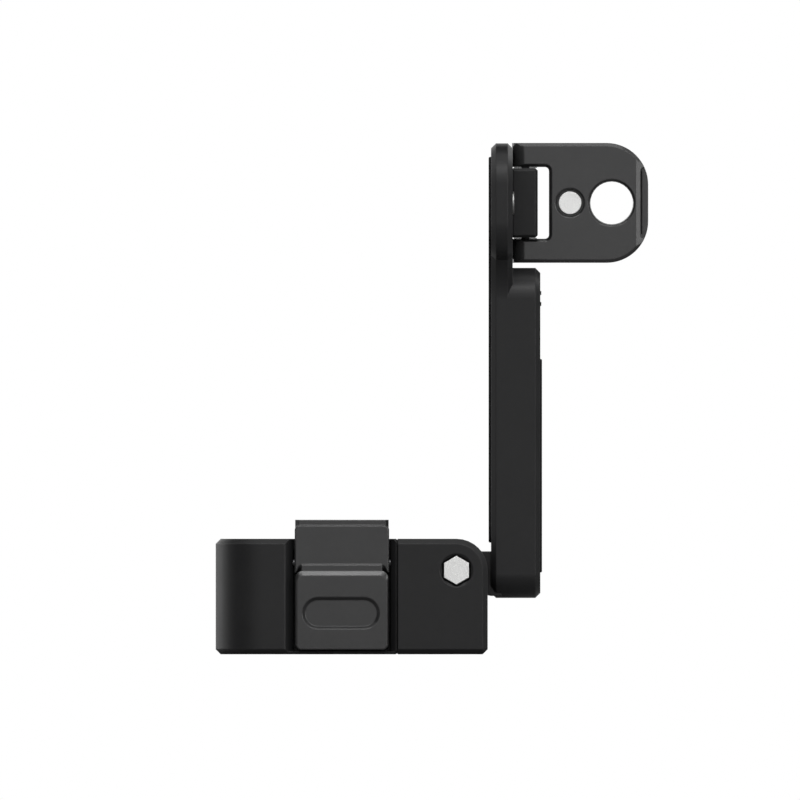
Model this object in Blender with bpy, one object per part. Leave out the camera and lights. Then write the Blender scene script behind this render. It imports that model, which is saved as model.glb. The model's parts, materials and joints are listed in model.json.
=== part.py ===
"""Folding expansion mount for a small camera.

A quick-release seat with a sprung latch at its front and at its rear, a folding arm on a
cross bolt at its right end, and a folding tab on a knuckle at the top of the arm. It is drawn
unfolded: the arm stands up and the tab points to the right. Metres, +Z up, +X to the right,
the front latch towards -Y. The origin is the middle of the seat's underside.
"""
import math

import bmesh
import bpy
from mathutils import Matrix, Vector

# Gaps that every fit uses
SEAT_GAP = 0.0002           # between two pieces that are screwed or laid together
RUNNING_GAP = 0.00025       # round a pin that turns
OVERRUN = 0.002             # how far a cutter runs past the skin
MERGE = 0.00001             # distance at which doubled points are welded

# Seat: a body at the left and a hinge block at the right
BASE_LENGTH = 0.0544
BASE_DEPTH = 0.0300
BASE_HEIGHT = 0.0231
BASE_CHAMFER = 0.0010
BASE_END_RADIUS = 0.0096
BLOCK_CORNER_RADIUS = 0.00625
BLOCK_LENGTH = 0.01814
SEAM_GAP = 0.0002
SEAM_GROOVE = 0.0002
KEY_LENGTH = 0.0020
KEY_WIDTH = 0.0140

# Latch: a rocking lever with a claw above its pin and a thumb plate below it
LATCH_SETBACK = 0.01102
LATCH_WIDTH = 0.0189
LATCH_SIDE_GAP = 0.0003
MOUTH_SLANT = 0.0015
MOUTH_LIP = 0.00035
LATCH_LEDGE = 0.00052
CLAW_RISE = 0.0038
CLAW_THICKNESS = 0.0036
CLAW_OVERHANG = 0.0010
CLAW_REACH = 0.0020
CLAW_CORNER = 0.0010
CLAW_EDGE = 0.00022
HOOK_SIDE_INSET = 0.0008
HOOK_BACK_INSET = 0.0001
HOOK_FACE_INSET = 0.0005
HOOK_RISE = 0.0011
ARCH_DROP = 0.00501
ARCH_RADIUS = 0.0008
ARCH_ARC_END = 35           # degrees
ARCH_FOOT = 0.00138
ARCH_TIP = 0.00024
THUMB_WIDTH = 0.0186
THUMB_PROUD = 0.0006
THUMB_THICKNESS = 0.0032
THUMB_BEVEL = 0.0010
THUMB_BEVEL_DEPTH = 0.00038
THUMB_DROP = 0.0064
THUMB_BOTTOM = 0.0009
THUMB_CORNER = 0.0011
THUMB_SHOULDER = 0.0015
THUMB_EDGE = 0.0003
THUMB_LINE = 0.0003
THUMB_FOOT_EDGE = 0.00004
THUMB_FOOT_LINE = 0.00008
THUMB_LINE_SHARE = 0.18     # of the bevel's depth and height
NECK_INSET = 0.0014
NECK_EASE = 0.0003
DISH_WIDTH = 0.01555
DISH_HEIGHT = 0.00645
DISH_DEPTH = 0.0006
DISH_Z = 0.00823
DISH_SHIFT = 0.00018
LATCH_PIN_DROP = 0.0048
LATCH_PIN_INSET = 0.0026
LATCH_PIN_RADIUS = 0.0008
LATCH_PIN_GRIP = 0.0035
LATCH_HUB_RADIUS = 0.0022
LATCH_TRAVEL = 0.0032
HUB_ROOM_DROP = 0.0024

# Return spring of each latch
SPRING_WIRE = 0.00045
SPRING_RADIUS = 0.0016
SPRING_TURNS = 4
SPRING_STEPS = 8
SPRING_Z = 0.0060
SPRING_POCKET = 0.0024

# Fittings of the seat
PAD_LENGTH = 0.0162
PAD_CLAW_GAP = 0.0018
PAD_THICKNESS = 0.0008
PAD_CORNER = 0.0020
PAD_SHIFT = 0.00054
MAGNET_RADIUS = 0.0030
MAGNET_HEIGHT = 0.0020
MAGNET_SPACING = 0.0080
INSERT_SHIFT = 0.00714
INSERT_RADIUS = 0.0045
INSERT_BORE = 0.0030
INSERT_HEIGHT = 0.0070
INSERT_CHAMFER = 0.0004
BLOCK_SCREW_Y = 0.0045
BLOCK_SCREW_Z = 0.0060
BLOCK_SCREW_SUNK = 0.0080
BLOCK_SCREW_GRIP = 0.0070
BLOCK_SCREW_SHANK = 0.00125
BLOCK_SCREW_HEAD = 0.00225
BLOCK_SCREW_HEAD_DEPTH = 0.0025
SOCKET_DEPTH = 0.0010

# Arm hinge: a hexagon bolt across the block's fork
ARM_PIVOT_INSET = 0.00625
ARM_PIVOT_DROP = 0.0063
BOLT_FLATS = 0.00506
BOLT_HEAD = 0.0020
BOLT_HEAD_SUNK = 0.0003
BOLT_SHANK = 0.0015
BOLT_EDGE = 0.00008
BOLT_POCKET_FLATS = 0.0059
BOLT_POCKET_CORNER = 0.0006
BOLT_POCKET_RIM = 0.00025
NUT_FLATS = 0.0055
NUT_THICKNESS = 0.0022
NUT_SUNK = 0.0006
NUT_POCKET = 0.0036
TONGUE_WIDTH = 0.0086
TONGUE_RADIUS = 0.0038
TONGUE_ROOM = 0.00035
WASHER_THICKNESS = 0.0005
WASHER_RADIUS = 0.0034

# Arm: a thick bar with a thinner head plate
ARM_STANDOFF = 0.00066
PLATE_THICKNESS = 0.00434
BAR_THICKNESS = 0.00986
BAR_WIDTH = 0.0124
BAR_BOTTOM_DROP = 0.00553
BAR_TOP_DROP = 0.02492
BAR_BOTTOM_RADIUS = 0.0048
ARM_CHAMFER = 0.0010
WAIST_DROP = 0.03134
WAIST_RADIUS = 0.0120
HEAD_INSET = 0.0002
HEAD_RADIUS = 0.0080
HEAD_TOP = 0.1022
HEAD_HEIGHT = 0.0237
NECK_BOTTOM_GAP = 0.0004

# Soft strips and the cap screw on the arm
FACE_PAD_INSET = 0.0027
FACE_PAD_PROUD = 0.00048
FACE_PAD_DEPTH = 0.0004
FACE_PAD_RISE = 0.01107
GRIP_RISE = 0.0051
GRIP_TOP_DROP = 0.01822
GRIP_INSET = 0.0018
GRIP_CORNER = 0.0010
GRIP_PROUD = 0.00034
GRIP_DEPTH = 0.0005
CAP_SCREW_DROP = 0.00612
CAP_SCREW_RADIUS = 0.0015
CAP_SCREW_PROUD = 0.0002
CAP_SCREW_HEAD = 0.0012
CAP_SCREW_SHANK = 0.0008
CAP_SCREW_LENGTH = 0.0050
CAP_SCREW_SLOT = 0.0014
CAP_SCREW_SLOT_DEPTH = 0.0007

# Tab hinge: an upright pin through a knuckle at the far side of the head
TAB_AXIS_STANDOFF = 0.00254
TAB_AXIS_INSET = 0.0052
TAB_PIN_RADIUS = 0.0008
TAB_PIN_SUNK = 0.0007
KNUCKLE_HEIGHT = 0.01394
KNUCKLE_FRONT = 0.0041
KNUCKLE_BACK = 0.0024
KNUCKLE_RIGHT = 0.00247
KNUCKLE_SUNK = 0.0006
KNUCKLE_CHAMFER = 0.0005
KNUCKLE_SCREW_INSET = 0.0026
KNUCKLE_SCREW_SPACING = 0.0080
KNUCKLE_SCREW_SHANK = 0.0010
KNUCKLE_SCREW_HEAD = 0.0019
KNUCKLE_SCREW_HEAD_DEPTH = 0.0011
KNUCKLE_SCREW_REACH = 0.0030

# Tab: a flat plate with a round tip, and a nose that turns in a groove of the head
TAB_THICKNESS = 0.0047
NOSE_TUCK = 0.00015
TAB_HEIGHT = 0.02396
TAB_DROP = 0.01192
TAB_REACH = 0.02456
TAB_TIP_RADIUS = 0.0083
TAB_CHAMFER = 0.0006
TAB_SLOT_DEPTH = 0.00471
TAB_SLOT_CORNER = 0.0008
TAB_SLOT_GAP = 0.0002
TAB_HOLE_SETBACK = 0.0073
TAB_HOLE_RADIUS = 0.00426
TAB_HOLE_CHAMFER = 0.0003
TAB_HOLE_THROAT = 0.0002
TAB_HOLE_THROAT_DEPTH = 0.0009
TIP_BEVEL_SETBACK = 0.00244
TIP_BEVEL_DEPTH = 0.0012
NAIL_SETBACK = 0.0015
NAIL_HEIGHT = 0.0142
NAIL_DEPTH = 0.0015
NAIL_CORNER = 0.0008
NAIL_GROOVE = 0.00022
NAIL_GROOVE_DEPTH = 0.0006

# Discs that hold the tab shut
DISC_REACH = 0.00892
DISC_RADIUS = 0.0023
DISC_THICKNESS = 0.0016
DISC_POCKET_RADIUS = 0.0028
DISC_POCKET_RIM = 0.0002
DISC_SUNK = 0.0006
DISC_EDGE = 0.00008
HEAD_DISC_RADIUS = 0.0023
HEAD_DISC_THICKNESS = 0.0020
HEAD_DISC_PROUD = 0.0003

# How finely a quarter turn and a full turn are drawn
QUARTER = 8
ROUND = 32

# Places worked out from the sizes above
HALF_LENGTH = BASE_LENGTH / 2
HALF_DEPTH = BASE_DEPTH / 2
SEAM_X = HALF_LENGTH - BLOCK_LENGTH
LATCH_X = SEAM_X - LATCH_SETBACK
CLAW_TOP = BASE_HEIGHT + CLAW_RISE
ARCH_TOP = BASE_HEIGHT - ARCH_DROP
THUMB_TOP = BASE_HEIGHT - THUMB_DROP
LATCH_PIN_Z = BASE_HEIGHT - LATCH_PIN_DROP
HUB_ROOM_TOP = BASE_HEIGHT - HUB_ROOM_DROP
PAD_X = LATCH_X - PAD_SHIFT
INSERT_X = LATCH_X - INSERT_SHIFT
BLOCK_SCREW_SEAT = HALF_LENGTH - BLOCK_SCREW_SUNK
BLOCK_SCREW_END = SEAM_X - BLOCK_SCREW_GRIP
ARM_PIVOT_X = HALF_LENGTH - ARM_PIVOT_INSET
ARM_PIVOT_Z = BASE_HEIGHT - ARM_PIVOT_DROP
ARM_LEFT = HALF_LENGTH + ARM_STANDOFF
BAR_BOTTOM = ARM_PIVOT_Z - BAR_BOTTOM_DROP
BAR_TOP = HEAD_TOP - BAR_TOP_DROP
WAIST_Z = HEAD_TOP - WAIST_DROP
FACE_PAD_BOTTOM = BAR_BOTTOM + FACE_PAD_RISE
GRIP_BOTTOM = BAR_BOTTOM + GRIP_RISE
GRIP_TOP = BAR_TOP - GRIP_TOP_DROP
CAP_SCREW_Z = BAR_TOP - CAP_SCREW_DROP
PAD_DEPTH = BASE_DEPTH - 2 * (CLAW_THICKNESS + PAD_CLAW_GAP)
LATCH_LEFT = LATCH_X - LATCH_WIDTH / 2
LATCH_RIGHT = LATCH_X + LATCH_WIDTH / 2
LATCH_PIN_Y = -HALF_DEPTH + LATCH_PIN_INSET
THUMB_BACK = -HALF_DEPTH - THUMB_PROUD + THUMB_THICKNESS
LATCH_ROOM = THUMB_BACK + LATCH_TRAVEL + SEAT_GAP
SPRING_POCKET_END = LATCH_ROOM + SPRING_POCKET
FORK_GAP = TONGUE_WIDTH / 2 + WASHER_THICKNESS + 2 * SEAT_GAP
FORK_FLOOR = BAR_BOTTOM - TONGUE_ROOM
FORK_LEFT = ARM_PIVOT_X - TONGUE_RADIUS - TONGUE_ROOM
PLATE_RIGHT = ARM_LEFT + PLATE_THICKNESS
BAR_RIGHT = ARM_LEFT + BAR_THICKNESS
TAB_AXIS_X = PLATE_RIGHT + TAB_AXIS_STANDOFF
TAB_TIP_X = TAB_AXIS_X + TAB_REACH
TAB_SLOT_X = TAB_AXIS_X + TAB_SLOT_DEPTH
TAB_HOLE_X = TAB_TIP_X - TAB_HOLE_SETBACK
TIP_BEVEL_X = TAB_TIP_X - TIP_BEVEL_SETBACK
NAIL_X = TAB_TIP_X - NAIL_SETBACK
HEAD_WIDTH = BASE_DEPTH - 2 * HEAD_INSET
TAB_AXIS_Y = HALF_DEPTH - TAB_AXIS_INSET
TAB_Z = HEAD_TOP - TAB_DROP
KNUCKLE_Z = TAB_Z
NOSE_REACH = TAB_AXIS_STANDOFF + NOSE_TUCK
KNUCKLE_SCREW_Y = TAB_AXIS_Y - KNUCKLE_SCREW_INSET
TAB_FRONT = TAB_AXIS_Y - TAB_THICKNESS / 2
TAB_BACK = TAB_AXIS_Y + TAB_THICKNESS / 2
TAB_DISC_X = TAB_AXIS_X + DISC_REACH
HEAD_DISC_Y = TAB_AXIS_Y - DISC_REACH
KNUCKLE_LEFT = PLATE_RIGHT - KNUCKLE_SUNK + SEAT_GAP

AXES = {
    "X": Matrix(((0, 0, 1), (1, 0, 0), (0, 1, 0))).to_4x4(),
    "Y": Matrix(((1, 0, 0), (0, 0, -1), (0, 1, 0))).to_4x4(),
    "Z": Matrix.Identity(4),
}


def clear_scene():
    """Empties the file and makes the two collections."""
    for old in list(bpy.data.objects):
        bpy.data.objects.remove(old, do_unlink=True)
    made = []
    for name in ("camera_expansion_mount", "cutters"):
        collection = bpy.data.collections.new(name)
        bpy.context.scene.collection.children.link(collection)
        made.append(collection)
    return made


PARTS, CUTTERS = clear_scene()


# Materials, one for each sub-part

def paint(part, colour, roughness, metallic):
    """Gives a part a material of its own."""
    material = bpy.data.materials.new(part.name + "_finish")
    material.use_nodes = True
    shader = material.node_tree.nodes["Principled BSDF"]
    shader.inputs["Base Color"].default_value = (*colour, 1)
    shader.inputs["Roughness"].default_value = roughness
    shader.inputs["Metallic"].default_value = metallic
    part.data.materials.clear()
    part.data.materials.append(material)


def anodised(part):
    paint(part, (0.028, 0.028, 0.030), 0.42, 0.6)


def grey_anodised(part):
    paint(part, (0.055, 0.055, 0.057), 0.40, 0.6)


def steel(part):
    paint(part, (0.66, 0.66, 0.65), 0.28, 1.0)


def silicone(part):
    paint(part, (0.012, 0.012, 0.013), 0.75, 0.0)


def brass(part):
    paint(part, (0.62, 0.50, 0.28), 0.35, 1.0)


# Outlines, as lists of (u, v) points

def arc(centre, radius, start, end, steps=QUARTER):
    """Points along an arc, from one angle in degrees to another."""
    points = []
    for i in range(steps + 1):
        angle = math.radians(start + (end - start) * i / steps)
        points.append((centre[0] + radius * math.cos(angle), centre[1] + radius * math.sin(angle)))
    return points


def rounded_box(left, right, low, high, radius):
    """A rectangle with four round corners."""
    inner = [(right - radius, low + radius), (right - radius, high - radius)]
    inner += [(left + radius, high - radius), (left + radius, low + radius)]
    points = []
    for centre, start in zip(inner, (-90, 0, 90, 180)):
        points += arc(centre, radius, start, start + 90)
    return points


def hexagon(centre, flats, first=90):
    """A hexagon by its width over flats, with a corner at the given angle."""
    corner = flats / 2 / math.cos(math.radians(30))
    return arc(centre, corner, first, first + 300, 5)


def mirrored(half):
    """Closes a half outline, drawn upwards at +u, with its mirror image at -u."""
    return half + [(-u, v) for u, v in reversed(half)]


def crossing(centre_a, radius_a, centre_b, radius_b):
    """The lower crossing of two circles, nearest to u = 0."""
    a, b = Vector(centre_a), Vector(centre_b)
    along = b - a
    reach = (along.length_squared + radius_a ** 2 - radius_b ** 2) / (2 * along.length)
    rise = math.sqrt(max(radius_a ** 2 - reach ** 2, 0))
    unit = along.normalized()
    return a + unit * reach + Vector((unit.y, -unit.x)) * rise


# Solids

def add_part(name, mesh):
    part = bpy.data.objects.new(name, mesh)
    PARTS.objects.link(part)
    return part


def welded(mesh):
    """Welds doubled points and turns each flat cap into one face."""
    bm = bmesh.new()
    bm.from_mesh(mesh)
    bmesh.ops.remove_doubles(bm, verts=bm.verts, dist=MERGE)
    flat = math.radians(0.05)
    bmesh.ops.dissolve_limit(bm, angle_limit=flat, verts=bm.verts, edges=bm.edges)
    bmesh.ops.recalc_face_normals(bm, faces=bm.faces)
    bm.to_mesh(mesh)
    bm.free()
    return mesh


def prism(name, outline, start, end, axis="Y"):
    """A flat outline drawn out along an axis: (u, v) is (x, z) along Y, (y, z) along X, (x, y) along Z."""
    curve = bpy.data.curves.new(name, "CURVE")
    curve.dimensions = "2D"
    curve.fill_mode = "BOTH"
    curve.extrude = abs(end - start) / 2
    spline = curve.splines.new("POLY")
    spline.points.add(len(outline) - 1)
    for point, (u, v) in zip(spline.points, outline):
        point.co = (u, v, 0, 1)
    spline.use_cyclic_u = True
    guide = bpy.data.objects.new(name, curve)
    CUTTERS.objects.link(guide)
    bpy.context.view_layer.update()
    mesh = bpy.data.meshes.new_from_object(guide.evaluated_get(bpy.context.evaluated_depsgraph_get()))
    bpy.data.objects.remove(guide)
    bpy.data.curves.remove(curve)
    place = {"X": (1, 0, 0), "Y": (0, 1, 0), "Z": (0, 0, 1)}[axis]
    mesh.transform(Matrix.Translation(Vector(place) * (start + end) / 2) @ AXES[axis])
    return add_part(name, welded(mesh))


def lofted(name, rings):
    """A solid along Y through outlines of equally many (x, z) points, given as (y, outline) pairs."""
    bm = bmesh.new()
    loops = [[bm.verts.new((u, y, v)) for u, v in outline] for y, outline in rings]
    bm.faces.new(loops[0])
    bm.faces.new(loops[-1])
    for near, far in zip(loops, loops[1:]):
        for i in range(len(near)):
            bm.faces.new((near[i - 1], near[i], far[i], far[i - 1]))
    bmesh.ops.triangulate(bm, faces=bm.faces)
    mesh = bpy.data.meshes.new(name)
    bm.to_mesh(mesh)
    bm.free()
    return add_part(name, welded(mesh))


def block(name, low, high):
    """A box by its lowest and highest corners."""
    bm = bmesh.new()
    bmesh.ops.create_cube(bm, size=1)
    size = Vector(high) - Vector(low)
    bmesh.ops.scale(bm, vec=size, verts=bm.verts)
    bmesh.ops.translate(bm, vec=(Vector(low) + Vector(high)) / 2, verts=bm.verts)
    mesh = bpy.data.meshes.new(name)
    bm.to_mesh(mesh)
    bm.free()
    return add_part(name, mesh)


def rod(name, radius, start, end, axis="Y", at=(0, 0), end_radius=None, sides=ROUND):
    """A cylinder or cone along an axis; at is (x, z) along Y, (y, z) along X, (x, y) along Z."""
    bm = bmesh.new()
    last = radius if end_radius is None else end_radius
    first, second = (last, radius) if axis == "Y" else (radius, last)
    bmesh.ops.create_cone(bm, cap_ends=True, segments=sides, radius1=first, radius2=second,
                          depth=end - start)
    mesh = bpy.data.meshes.new(name)
    bm.to_mesh(mesh)
    bm.free()
    middle = (start + end) / 2
    place = {"X": (middle, at[0], at[1]), "Y": (at[0], middle, at[1]), "Z": (at[0], at[1], middle)}[axis]
    mesh.transform(Matrix.Translation(place) @ AXES[axis])
    return add_part(name, mesh)


def chamfer(part, width, choose=None, segments=1, sharp=50):
    """Bevels the sharp edges of a solid that the test chooses, or all of them."""
    bm = bmesh.new()
    bm.from_mesh(part.data)
    chosen = []
    for edge in bm.edges:
        if len(edge.link_faces) == 2 and math.degrees(edge.calc_face_angle(0)) > sharp:
            a, b = edge.verts[0].co, edge.verts[1].co
            if choose is None or choose(a, b):
                chosen.append(edge)
    bmesh.ops.bevel(bm, geom=chosen, offset=width, offset_type="OFFSET", segments=segments,
                    profile=0.5, affect="EDGES", clamp_overlap=False)
    bm.to_mesh(part.data)
    bm.free()


def both_at(axis, value):
    """A test for edges that lie in the plane where one coordinate has a value."""
    return lambda a, b: abs(a[axis] - value) < MERGE and abs(b[axis] - value) < MERGE


def combine(part, tool, operation):
    """Adds a Boolean modifier and puts the tool away among the cutters."""
    for holder in list(tool.users_collection):
        holder.objects.unlink(tool)
    CUTTERS.objects.link(tool)
    tool.hide_render = True
    tool.display_type = "WIRE"
    modifier = part.modifiers.new(tool.name, "BOOLEAN")
    modifier.operation = operation
    modifier.solver = "EXACT"
    modifier.object = tool


def cut(part, *tools):
    for tool in tools:
        combine(part, tool, "DIFFERENCE")


def join(part, *tools):
    for tool in tools:
        combine(part, tool, "UNION")


def baked(part):
    """Applies the modifiers, so that the part can be copied or used as a tool."""
    bpy.context.view_layer.update()
    mesh = bpy.data.meshes.new_from_object(part.evaluated_get(bpy.context.evaluated_depsgraph_get()))
    tools = [modifier.object for modifier in part.modifiers]
    part.modifiers.clear()
    part.data = mesh
    for tool in tools:
        bpy.data.objects.remove(tool)
    return part


def copy_of(part, name, matrix):
    mesh = part.data.copy()
    mesh.transform(matrix)
    return add_part(name, mesh)


def turned_to_rear(part, name):
    """The same piece for the rear latch: half a turn about the seat's upright middle line."""
    middle = Matrix.Translation((LATCH_X, 0, 0))
    return copy_of(part, name, middle @ Matrix.Rotation(math.pi, 4, "Z") @ middle.inverted())


def smooth(part):
    part.data.shade_smooth()
    part.data.set_sharp_from_angle(angle=math.radians(30))


def hang(part, parent, point):
    """Puts a part's origin on a point and parents it to an empty."""
    part.data.transform(Matrix.Translation(-Vector(point)))
    part.parent = parent
    part.location = Vector(point) - parent.location


def axis_empty(name, point, parent=None):
    empty = bpy.data.objects.new(name, None)
    PARTS.objects.link(empty)
    if parent:
        empty.parent = parent
        point = Vector(point) - parent.location
    empty.location = point
    return empty


def socket_screw(name, axis_at, under_head, head_radius, head_depth, shank_radius, end, towards):
    """A screw along X with its head's underside at one place and its tip at another."""
    top = under_head - towards * head_depth
    head = rod(name, head_radius, min(under_head, top), max(under_head, top), "X", axis_at)
    shank = rod(name + "_shank", shank_radius, min(under_head - towards * head_depth / 2, end),
                max(under_head - towards * head_depth / 2, end), "X", axis_at)
    join(head, shank)
    floor = top + towards * SOCKET_DEPTH
    mouth = top - towards * OVERRUN
    socket = prism(name + "_socket", hexagon(axis_at, shank_radius * 2), min(floor, mouth),
                   max(floor, mouth), "X")
    cut(head, socket)
    return baked(head)


# Seat

def seam_grooves():
    """Two bars on edge that open the seam into a shallow groove, above and below."""
    bars = []
    side = SEAM_GROOVE * math.sqrt(2)
    long_y = HALF_DEPTH + OVERRUN
    for place in (0, BASE_HEIGHT):
        outline = square_on_corner((SEAM_X, place), side)
        bars.append(prism("seam_groove", outline, -long_y, long_y, "Y"))
    return bars


def square_on_corner(centre, side):
    """A square standing on its corner."""
    return arc(centre, side / math.sqrt(2), 0, 270, 3)


def latch_mouth(name, sign):
    """Plan of the space for a latch: slanted at the face, with a lip at its left, and straight behind."""
    left = LATCH_LEFT - LATCH_SIDE_GAP
    right = LATCH_RIGHT + LATCH_SIDE_GAP
    face = HALF_DEPTH
    back = HALF_DEPTH - CLAW_THICKNESS - 2 * SEAT_GAP
    lip = left - MOUTH_SLANT
    lip_depth = MOUTH_LIP / 2
    outline = [(lip - MOUTH_LIP - 2 * OVERRUN, face + OVERRUN), (lip, face - lip_depth)]
    outline += [(left, face - lip_depth - MOUTH_SLANT), (left, back), (right, back)]
    outline += [(right, face - MOUTH_SLANT), (right + MOUTH_SLANT + OVERRUN, face + OVERRUN)]
    outline = [(u, sign * v) for u, v in outline]
    return prism(name, outline, LATCH_LEDGE, BASE_HEIGHT + OVERRUN, "Z")


def make_base_body():
    left = -HALF_LENGTH + BASE_END_RADIUS
    low = -HALF_DEPTH + BASE_END_RADIUS
    right = SEAM_X + OVERRUN
    outline = arc((left, low), BASE_END_RADIUS, 270, 180) + arc((left, -low), BASE_END_RADIUS, 180, 90)
    outline += [(right, HALF_DEPTH), (right, -HALF_DEPTH)]
    body = prism("base_body", outline, 0, BASE_HEIGHT, "Z")
    chamfer(body, BASE_CHAMFER, both_at(2, 0))
    chamfer(body, BASE_CHAMFER, both_at(2, BASE_HEIGHT))
    far = right + OVERRUN
    cut(body, block("body_end", (SEAM_X - SEAM_GAP / 2, -BASE_DEPTH, -OVERRUN),
                    (far, BASE_DEPTH, BASE_HEIGHT + OVERRUN)))
    key = SEAM_X - KEY_LENGTH - SEAM_GAP
    half_key = KEY_WIDTH / 2 + SEAM_GAP
    cut(body, block("key_slot", (key, -half_key, -OVERRUN), (far, half_key, BASE_HEIGHT + OVERRUN)))
    left_wall, right_wall = LATCH_LEFT - LATCH_SIDE_GAP, LATCH_RIGHT + LATCH_SIDE_GAP
    for side, sign in (("front", -1), ("rear", 1)):
        cut(body, latch_mouth(side + "_mouth", sign))
        near, away = sorted((sign * -LATCH_ROOM, sign * (HALF_DEPTH - MOUTH_SLANT)))
        cut(body, block(side + "_hub_room", (left_wall, near, LATCH_LEDGE),
                        (right_wall, away, HUB_ROOM_TOP)))
        cut(body, rod(side + "_pin_hole", LATCH_PIN_RADIUS + RUNNING_GAP,
                      LATCH_LEFT - LATCH_PIN_GRIP - SEAT_GAP, far, "X", (sign * -LATCH_PIN_Y, LATCH_PIN_Z)))
        near, away = sorted((sign * -SPRING_POCKET_END, sign * -(LATCH_ROOM - OVERRUN / 2)))
        cut(body, rod(side + "_spring_pocket", SPRING_RADIUS + SPRING_WIRE, near, away, "Y",
                      (LATCH_X, SPRING_Z)))
    pad_floor = BASE_HEIGHT - PAD_THICKNESS - SEAT_GAP
    cut(body, prism("pad_pocket", pad_outline(SEAT_GAP), pad_floor, BASE_HEIGHT + OVERRUN, "Z"))
    for x in magnet_places():
        cut(body, rod("magnet_pocket", MAGNET_RADIUS + SEAT_GAP, pad_floor - MAGNET_HEIGHT - 2 * SEAT_GAP,
                      BASE_HEIGHT, "Z", (x, 0)))
    cut(body, rod("insert_hole", INSERT_RADIUS + SEAT_GAP, -OVERRUN, INSERT_HEIGHT + SEAT_GAP, "Z",
                  (INSERT_X, 0)))
    for y in (-BLOCK_SCREW_Y, BLOCK_SCREW_Y):
        cut(body, rod("body_screw_hole", BLOCK_SCREW_SHANK + SEAT_GAP, BLOCK_SCREW_END - SEAT_GAP, far,
                      "X", (y, BLOCK_SCREW_Z)))
    cut(body, *seam_grooves())
    anodised(body)
    smooth(body)
    return body


def make_hinge_block():
    right = HALF_LENGTH
    left = SEAM_X - KEY_LENGTH - OVERRUN
    corner = (right - BLOCK_CORNER_RADIUS, BASE_HEIGHT - BLOCK_CORNER_RADIUS)
    outline = [(left, 0), (right, 0)] + arc(corner, BLOCK_CORNER_RADIUS, 0, 90) + [(left, BASE_HEIGHT)]
    fork = prism("hinge_block", outline, -HALF_DEPTH, HALF_DEPTH, "Y")
    chamfer(fork, BASE_CHAMFER)
    far = BASE_DEPTH
    key = SEAM_X - KEY_LENGTH
    cut(fork, block("block_end", (left - far, -far, -OVERRUN), (key, far, BASE_HEIGHT + OVERRUN)))
    for side in (-1, 1):
        near, away = sorted((side * KEY_WIDTH / 2, side * far))
        cut(fork, block("block_shoulder", (left - far, near, -OVERRUN),
                        (SEAM_X + SEAM_GAP / 2, away, BASE_HEIGHT + OVERRUN)))
        cut(fork, latch_mouth("mouth_end", side))
    cut(fork, block("fork_slot", (FORK_LEFT, -FORK_GAP, FORK_FLOOR),
                    (right + OVERRUN, FORK_GAP, BASE_HEIGHT + OVERRUN)))
    pivot = (ARM_PIVOT_X, ARM_PIVOT_Z)
    cut(fork, rod("bolt_hole", BOLT_SHANK + RUNNING_GAP, -far, far, "Y", pivot))
    floor = -HALF_DEPTH + BOLT_HEAD_SUNK + BOLT_HEAD + SEAT_GAP
    pocket = prism("bolt_pocket", hexagon(pivot, BOLT_POCKET_FLATS), -HALF_DEPTH - OVERRUN, floor, "Y")
    chamfer(pocket, BOLT_POCKET_CORNER, lambda a, b: abs(a.y - b.y) > OVERRUN, 3)
    rim = rod("bolt_pocket_rim", rim_radius(BOLT_POCKET_RIM), -HALF_DEPTH, -HALF_DEPTH + BOLT_POCKET_RIM,
              "Y", pivot, rim_radius(0))
    cut(fork, pocket, rim)
    cut(fork, rod("nut_pocket", NUT_POCKET, nut_floor() - SEAT_GAP, HALF_DEPTH + OVERRUN, "Y", pivot))
    for y in (-BLOCK_SCREW_Y, BLOCK_SCREW_Y):
        cut(fork, rod("screw_hole", BLOCK_SCREW_SHANK + SEAT_GAP, key - OVERRUN, right, "X",
                      (y, BLOCK_SCREW_Z)))
        cut(fork, rod("screw_counterbore", BLOCK_SCREW_HEAD + SEAT_GAP, BLOCK_SCREW_SEAT - SEAT_GAP,
                      right + OVERRUN, "X", (y, BLOCK_SCREW_Z)))
    cut(fork, *seam_grooves())
    anodised(fork)
    smooth(fork)
    return fork


def rim_radius(extra):
    """Radius of the round opening that eases the mouth of the bolt's pocket."""
    return BOLT_POCKET_FLATS / 2 / math.cos(math.radians(30)) - BOLT_POCKET_CORNER / 2 + extra


def pad_outline(extra):
    half_x, half_y = PAD_LENGTH / 2 + extra, PAD_DEPTH / 2 + extra
    return rounded_box(PAD_X - half_x, PAD_X + half_x, -half_y, half_y, PAD_CORNER + extra)


def make_seat_pad():
    pad = prism("seat_pad", pad_outline(0), BASE_HEIGHT - PAD_THICKNESS, BASE_HEIGHT, "Z")
    silicone(pad)
    return pad


def magnet_places():
    return (PAD_X - MAGNET_SPACING / 2, PAD_X + MAGNET_SPACING / 2)


def make_seat_magnets():
    top = BASE_HEIGHT - PAD_THICKNESS - 2 * SEAT_GAP
    for side, x in zip(("left", "right"), magnet_places()):
        magnet = rod("seat_magnet_" + side, MAGNET_RADIUS, top - MAGNET_HEIGHT, top, "Z", (x, 0))
        steel(magnet)
        smooth(magnet)


def make_tripod_insert():
    insert = rod("tripod_insert", INSERT_RADIUS, 0, INSERT_HEIGHT, "Z", (INSERT_X, 0))
    cut(insert, rod("insert_bore", INSERT_BORE, -OVERRUN, INSERT_HEIGHT + OVERRUN, "Z", (INSERT_X, 0)))
    cut(insert, rod("insert_mouth", INSERT_BORE + 2 * INSERT_CHAMFER, -INSERT_CHAMFER, INSERT_CHAMFER, "Z",
                    (INSERT_X, 0), INSERT_BORE))
    steel(insert)
    smooth(insert)
    return insert


def make_block_screws():
    for side, y in (("front", -BLOCK_SCREW_Y), ("rear", BLOCK_SCREW_Y)):
        screw = socket_screw("block_screw_" + side, (y, BLOCK_SCREW_Z), BLOCK_SCREW_SEAT, BLOCK_SCREW_HEAD,
                             BLOCK_SCREW_HEAD_DEPTH, BLOCK_SCREW_SHANK, BLOCK_SCREW_END, -1)
        steel(screw)
        smooth(screw)


# Latches

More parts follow.
